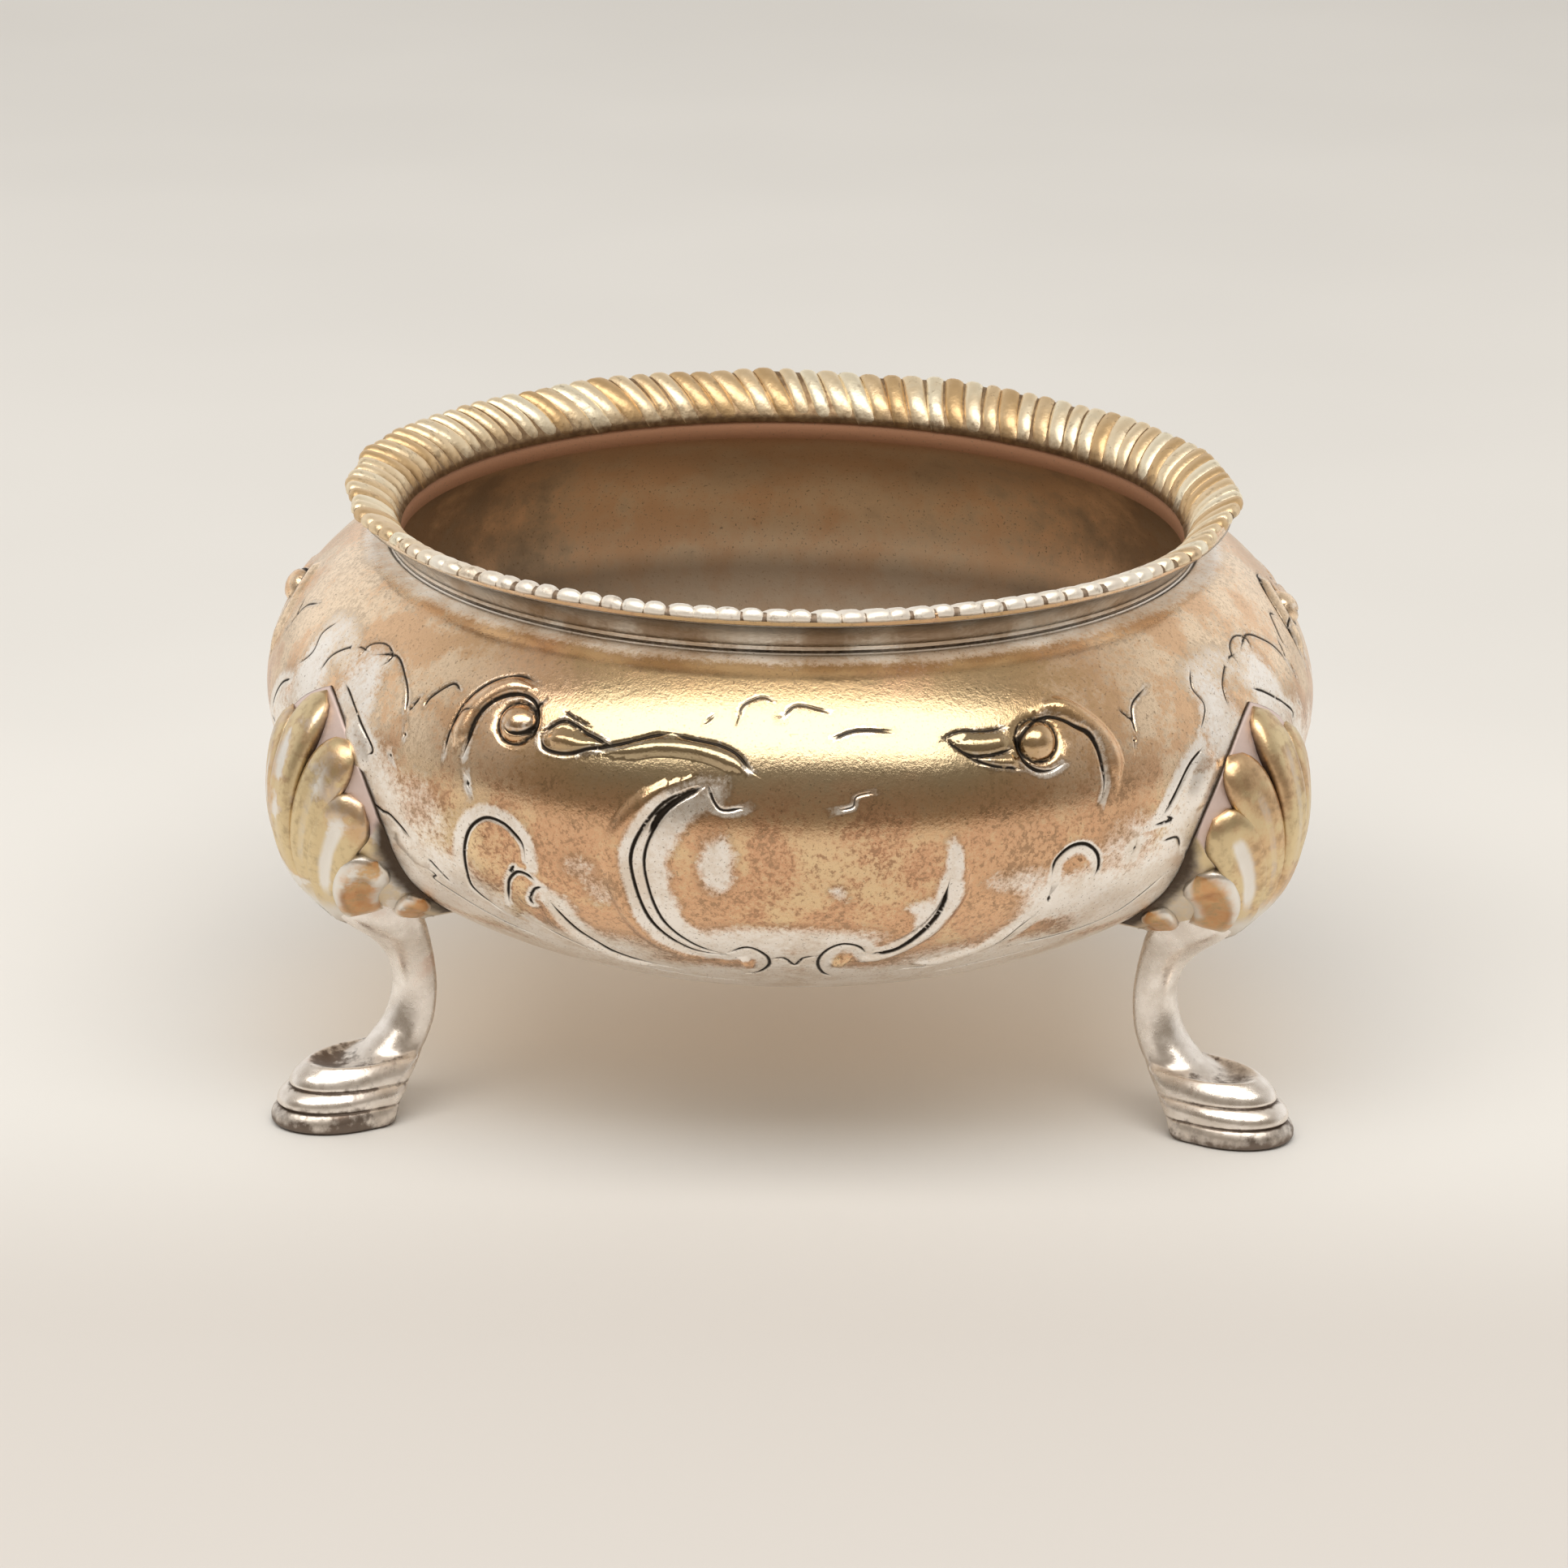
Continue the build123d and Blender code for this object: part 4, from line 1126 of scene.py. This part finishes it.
def shell_base():
    """Plate under the lobes: a fan of points from the root to the plate's edge, then down on the bowl."""
    angles = np.linspace(-66, 66, 45)
    shares = [0.04, 0.2, 0.35, 0.5, 0.62, 0.74, 0.84, 0.92, 0.985, 1.0, 1.0]
    last = len(shares) - 1
    lean = np.abs(angles)
    low_side = ease(32, 39, lean)
    points = []
    marks = {"dark": [], "silver": [], "pink": []}
    for row, share in enumerate(shares):
        reach = share * plate_edge(lean)
        across = reach * np.sin(np.radians(angles))
        up = root_height + reach * np.cos(np.radians(angles))
        on_bowl = bowl_out(across, up) + shell_seat
        out = on_bowl if row == last else knee_out(across, up) - 0.25 * (1 - share)
        points.append(np.stack([out, across, up], -1))
        # Dark: joints at the plate's edge and the bowl, and painted shade over the plate's low side under the
        # lower lobes
        solder = 0.9 * np.exp(-((lean - 39) / 5) ** 2) * ease(0.86, 0.95, share)
        hollow = np.maximum(solder, 0.8 * low_side * ease(0.62, 0.98, share))
        marks["dark"].append(np.maximum(hollow, {last: 0.9, last - 1: 0.55}.get(row, 0.0)))
        marks["silver"].append(np.maximum(1 - ease(0.3, 0.5, share), 0.5 * low_side))
        marks["pink"].append(ease(0.35, 0.5, share) * (1 - low_side))
    return np.array(points), marks


def plate_body(top):
    """The plate's points with their copies underneath, and the faces that close it."""
    rows, cols = top.shape[:2]
    under = top.copy()
    on_bowl = bowl_out(top[..., 1], top[..., 2]) + shell_seat
    under[..., 0] = np.minimum(top[..., 0] - 0.02, on_bowl)
    half = rows * cols
    sheet = grid_faces(rows, cols, False)
    faces = sheet + [tuple(half + v for v in face[::-1]) for face in sheet]
    grid = np.arange(half).reshape(rows, cols)
    loop = np.concatenate([grid[0], grid[1:, -1], grid[-1, -2::-1], grid[-2:0:-1, 0]]).tolist()
    faces += [(b, a, half + a, half + b) for a, b in zip(loop, loop[1:] + loop[:1])]
    return np.vstack([top.reshape(-1, 3), under.reshape(-1, 3)]), faces


def lobe_body(lobe, hand):
    """One lobe of the shell: its points ring by ring, and its marks."""
    wide, root_share, tall, flute, bright, middle_line = lobe
    s, side, up = lobe_path(middle_line, hand, lobe_rings)
    middle = np.stack([knee_out(side, up), side, up], -1)
    run = unit(np.gradient(middle, axis=0))
    outward = knee_facing(side, up)
    outward = unit(outward - run * (outward * run).sum(1)[:, None])
    level = np.cross(outward, run)
    s = s[:, None]
    blunt = min(0.4, wide / 12)
    tip = np.sqrt(np.clip(1 - np.clip((s - 1 + blunt) / blunt, 0, 1) ** 2, 0.0016, 1))
    half_width = wide * (root_share + (1 - root_share) * s ** 0.9) * tip
    swell = 0.45 * ease(0, 0.3, s) + 0.55 * ease(0.2, 0.8, s)
    lift = tall * swell * tip - 0.7 * (1 - ease(0, 0.14, s))
    hollow = flute * ease(0.25, 0.5, s) * (1 - ease(0.74, 0.92, s))
    around = np.linspace(0, math.pi, lobe_sides)
    rim = np.abs(np.cos(around))
    crest = np.exp(-(rim / 0.45) ** 2)
    rise = np.sin(around) ** 0.8 * lift * (1 - 0.6 * hollow * crest)
    rise[:, [0, -1]] = -0.6
    sideways = (np.cos(around) * half_width)[..., None] * level[:, None]
    points = middle[:, None] + sideways + rise[..., None] * outward[:, None]
    along = ease(0.25, 0.45, s)
    outline = np.where(rim > 0.99, 0.95, np.where(rim > 0.95, 0.35, 0.0))
    if bright > 0:
        left = bright * crest ** 2 * (1 - ease(0.78, 0.92, s))
    else:
        left = -bright * (1.1 - 1.1 * np.exp(-(rim / 0.8) ** 2))
    silver = left * along + 0.9 * (1 - ease(0.1, 0.4, s))
    return points.reshape(-1, 3), {"dark": outline * along, "silver": silver, "worn": float(bright < 0)}


def make_shell(place, turn):
    """Shell over the knee: a plate, nine finger lobes with rounded ends, flutes in the lower ones."""
    blocks, faces = [], []
    marks = {"dark": [], "silver": [], "pink": [], "worn": []}

    def join(block, block_faces, values):
        start = sum(len(b) for b in blocks)
        blocks.append(block)
        faces.extend(tuple(start + v for v in face) for face in block_faces)
        for mark in marks:
            marks[mark].append(np.zeros(len(block)) + np.ravel(values.get(mark, 0.0)))

    top, values = shell_base()
    join(*plate_body(top), {mark: np.tile(np.ravel(rows), 2) for mark, rows in values.items()})
    for order, lobe in enumerate(shell_lobes):
        for hand in ((1, -1) if order else (1,)):
            block, values = lobe_body(lobe, hand)
            join(block, tube_faces(lobe_rings, lobe_sides), values)
    points = off_the_bowl(np.vstack(blocks), shell_seat)
    marks = {mark: np.concatenate(values) for mark, values in marks.items()}
    return make_piece("shell_cast_" + place, turned(points, turn), faces, knee_finish, marks)


# Pieces on their nodes

def stand_for(piece, node):
    """The piece rides on the one body and hides its node."""
    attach(piece, "root")
    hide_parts(node)


stand_for(make_bowl(), "bowl")
stand_for(make_border(), "gadroon_border")
for place, turn in leg_turns.items():
    stand_for(make_leg(place, turn), "leg_" + place)
    stand_for(make_shell(place, turn), "shell_" + place)


# Floor, light and camera

# Paper colours: the two darker tones are painted shade in front of the salt, the warm tone a painted glow of
# light thrown from the copper
paper_grey, paper_light = (0.785, 0.785, 0.775), (0.81, 0.81, 0.80)
paper_shade, paper_front_shade, paper_glow = (0.66, 0.64, 0.62), (0.34, 0.30, 0.26), (0.98, 0.89, 0.78)
room_front, room_back, room_above = (0.28, 0.24, 0.195), (0.92, 0.90, 0.87), (0.50, 0.46, 0.41)


def make_floor():
    """Pale paper under the salt, painted darker in front as shade, with a painted warm glow under the bowl.
    """
    f = Finish("pale_paper")
    shade = f.lay(paper_grey, paper_light, f.noise(14.0, 2.0), 0.3, 0.7)
    y = f.place_along("Y")
    # Painted shade: darker in front of the salt, and darker still further forward, where the metal reflects
    # the floor
    shade = f.lay(shade, paper_shade, y, -0.015, -0.06)
    shade = f.lay(shade, paper_front_shade, y, -0.2, -0.42)
    reach = f.add("ShaderNodeVectorMath", {"operation": "LENGTH"}, {0: f.place()}, "Value")
    # Painted light: a warm glow on the paper under the bowl, for light thrown down from its copper
    shade = f.mix(f.step(reach, 0.05, 0.02) * f.step(y, -0.03, 0.0), shade, paper_glow)
    inputs = {"Base Color": shade, "Roughness": 0.75, "Specular IOR Level": 0.25}
    paper = f.shown(f.add("ShaderNodeBsdfPrincipled", inputs=inputs), "ShaderNodeOutputMaterial")
    around = 96
    turn = np.radians(np.arange(around) * 360 / around)
    rings = np.array([0.2, 0.6, 1.4, 3.0]) / MM
    points = [(0, 0, 0)] + [(r * math.cos(t), r * math.sin(t), 0) for r in rings for t in turn]
    faces = [(0, 1 + k, 1 + (k + 1) % around) for k in range(around)]
    faces += [face[::-1] for face in grid_faces(len(rings), around, True, 1)]
    make_piece("paper_floor", points, faces, paper)


def make_light(name, place, aim, wide, deep, watts, tint):
    """Soft rectangular light."""
    lamp = bpy.data.lights.new(name, "AREA")
    lamp.shape = "RECTANGLE"
    lamp.size, lamp.size_y = wide, deep
    lamp.energy = watts
    lamp.color = tint
    light = bpy.data.objects.new(name, lamp)
    light.location = place
    light.rotation_euler = (Vector(aim) - Vector(place)).to_track_quat("-Z", "Y").to_euler()
    bpy.context.scene.collection.objects.link(light)


def make_world():
    """Studio room: pale behind and above, dim in front."""
    room = Finish("studio_room", "worlds")
    way = room.add("ShaderNodeTexCoord", output="Generated")
    depth, up = (room.add("ShaderNodeSeparateXYZ", inputs={"Vector": way}, output=axis) for axis in "YZ")
    shade = room.lay(room_front, room_back, depth, -0.52, 0.5)
    shade = room.lay(shade, room_above, up, 0.25, 0.95)
    glow = room.add("ShaderNodeBackground", inputs={"Color": shade, "Strength": 1.0})
    bpy.context.scene.world = room.shown(glow, "ShaderNodeOutputWorld")


def make_camera():
    """Camera at the photograph's place: its distance, height, lens and slight roll."""
    distance, elevation, roll = 0.45, math.radians(18.79), math.radians(1.0)
    sensor, frame_pixels, focal_pixels = 36.0, 1932, 7177.5
    target = Vector((-0.33, 0, 20.37)) * MM
    back = Vector((0, -math.cos(elevation), math.sin(elevation)))
    right = Vector((1, 0, 0))
    up = back.cross(right)
    cam_right = right * math.cos(roll) + up * math.sin(roll)
    cam_up = up * math.cos(roll) - right * math.sin(roll)
    lens = bpy.data.cameras.new("camera")
    lens.sensor_width = sensor
    lens.lens = sensor * focal_pixels / frame_pixels
    lens.clip_start, lens.clip_end = 0.01, 20.0
    camera = bpy.data.objects.new("camera", lens)
    turn = Matrix((cam_right, cam_up, back)).transposed().to_4x4()
    camera.matrix_world = Matrix.Translation(target + back * distance) @ turn
    bpy.context.scene.collection.objects.link(camera)
    bpy.context.scene.camera = camera


make_floor()
make_world()
make_light("softbox", place=(-0.08, -0.5, 0.9), aim=(-0.08, -0.5, 0), wide=1.5, deep=0.64, watts=10.6,
           tint=(1.0, 0.965, 0.91))
make_camera()
bpy.context.scene.view_settings.view_transform = "Standard"
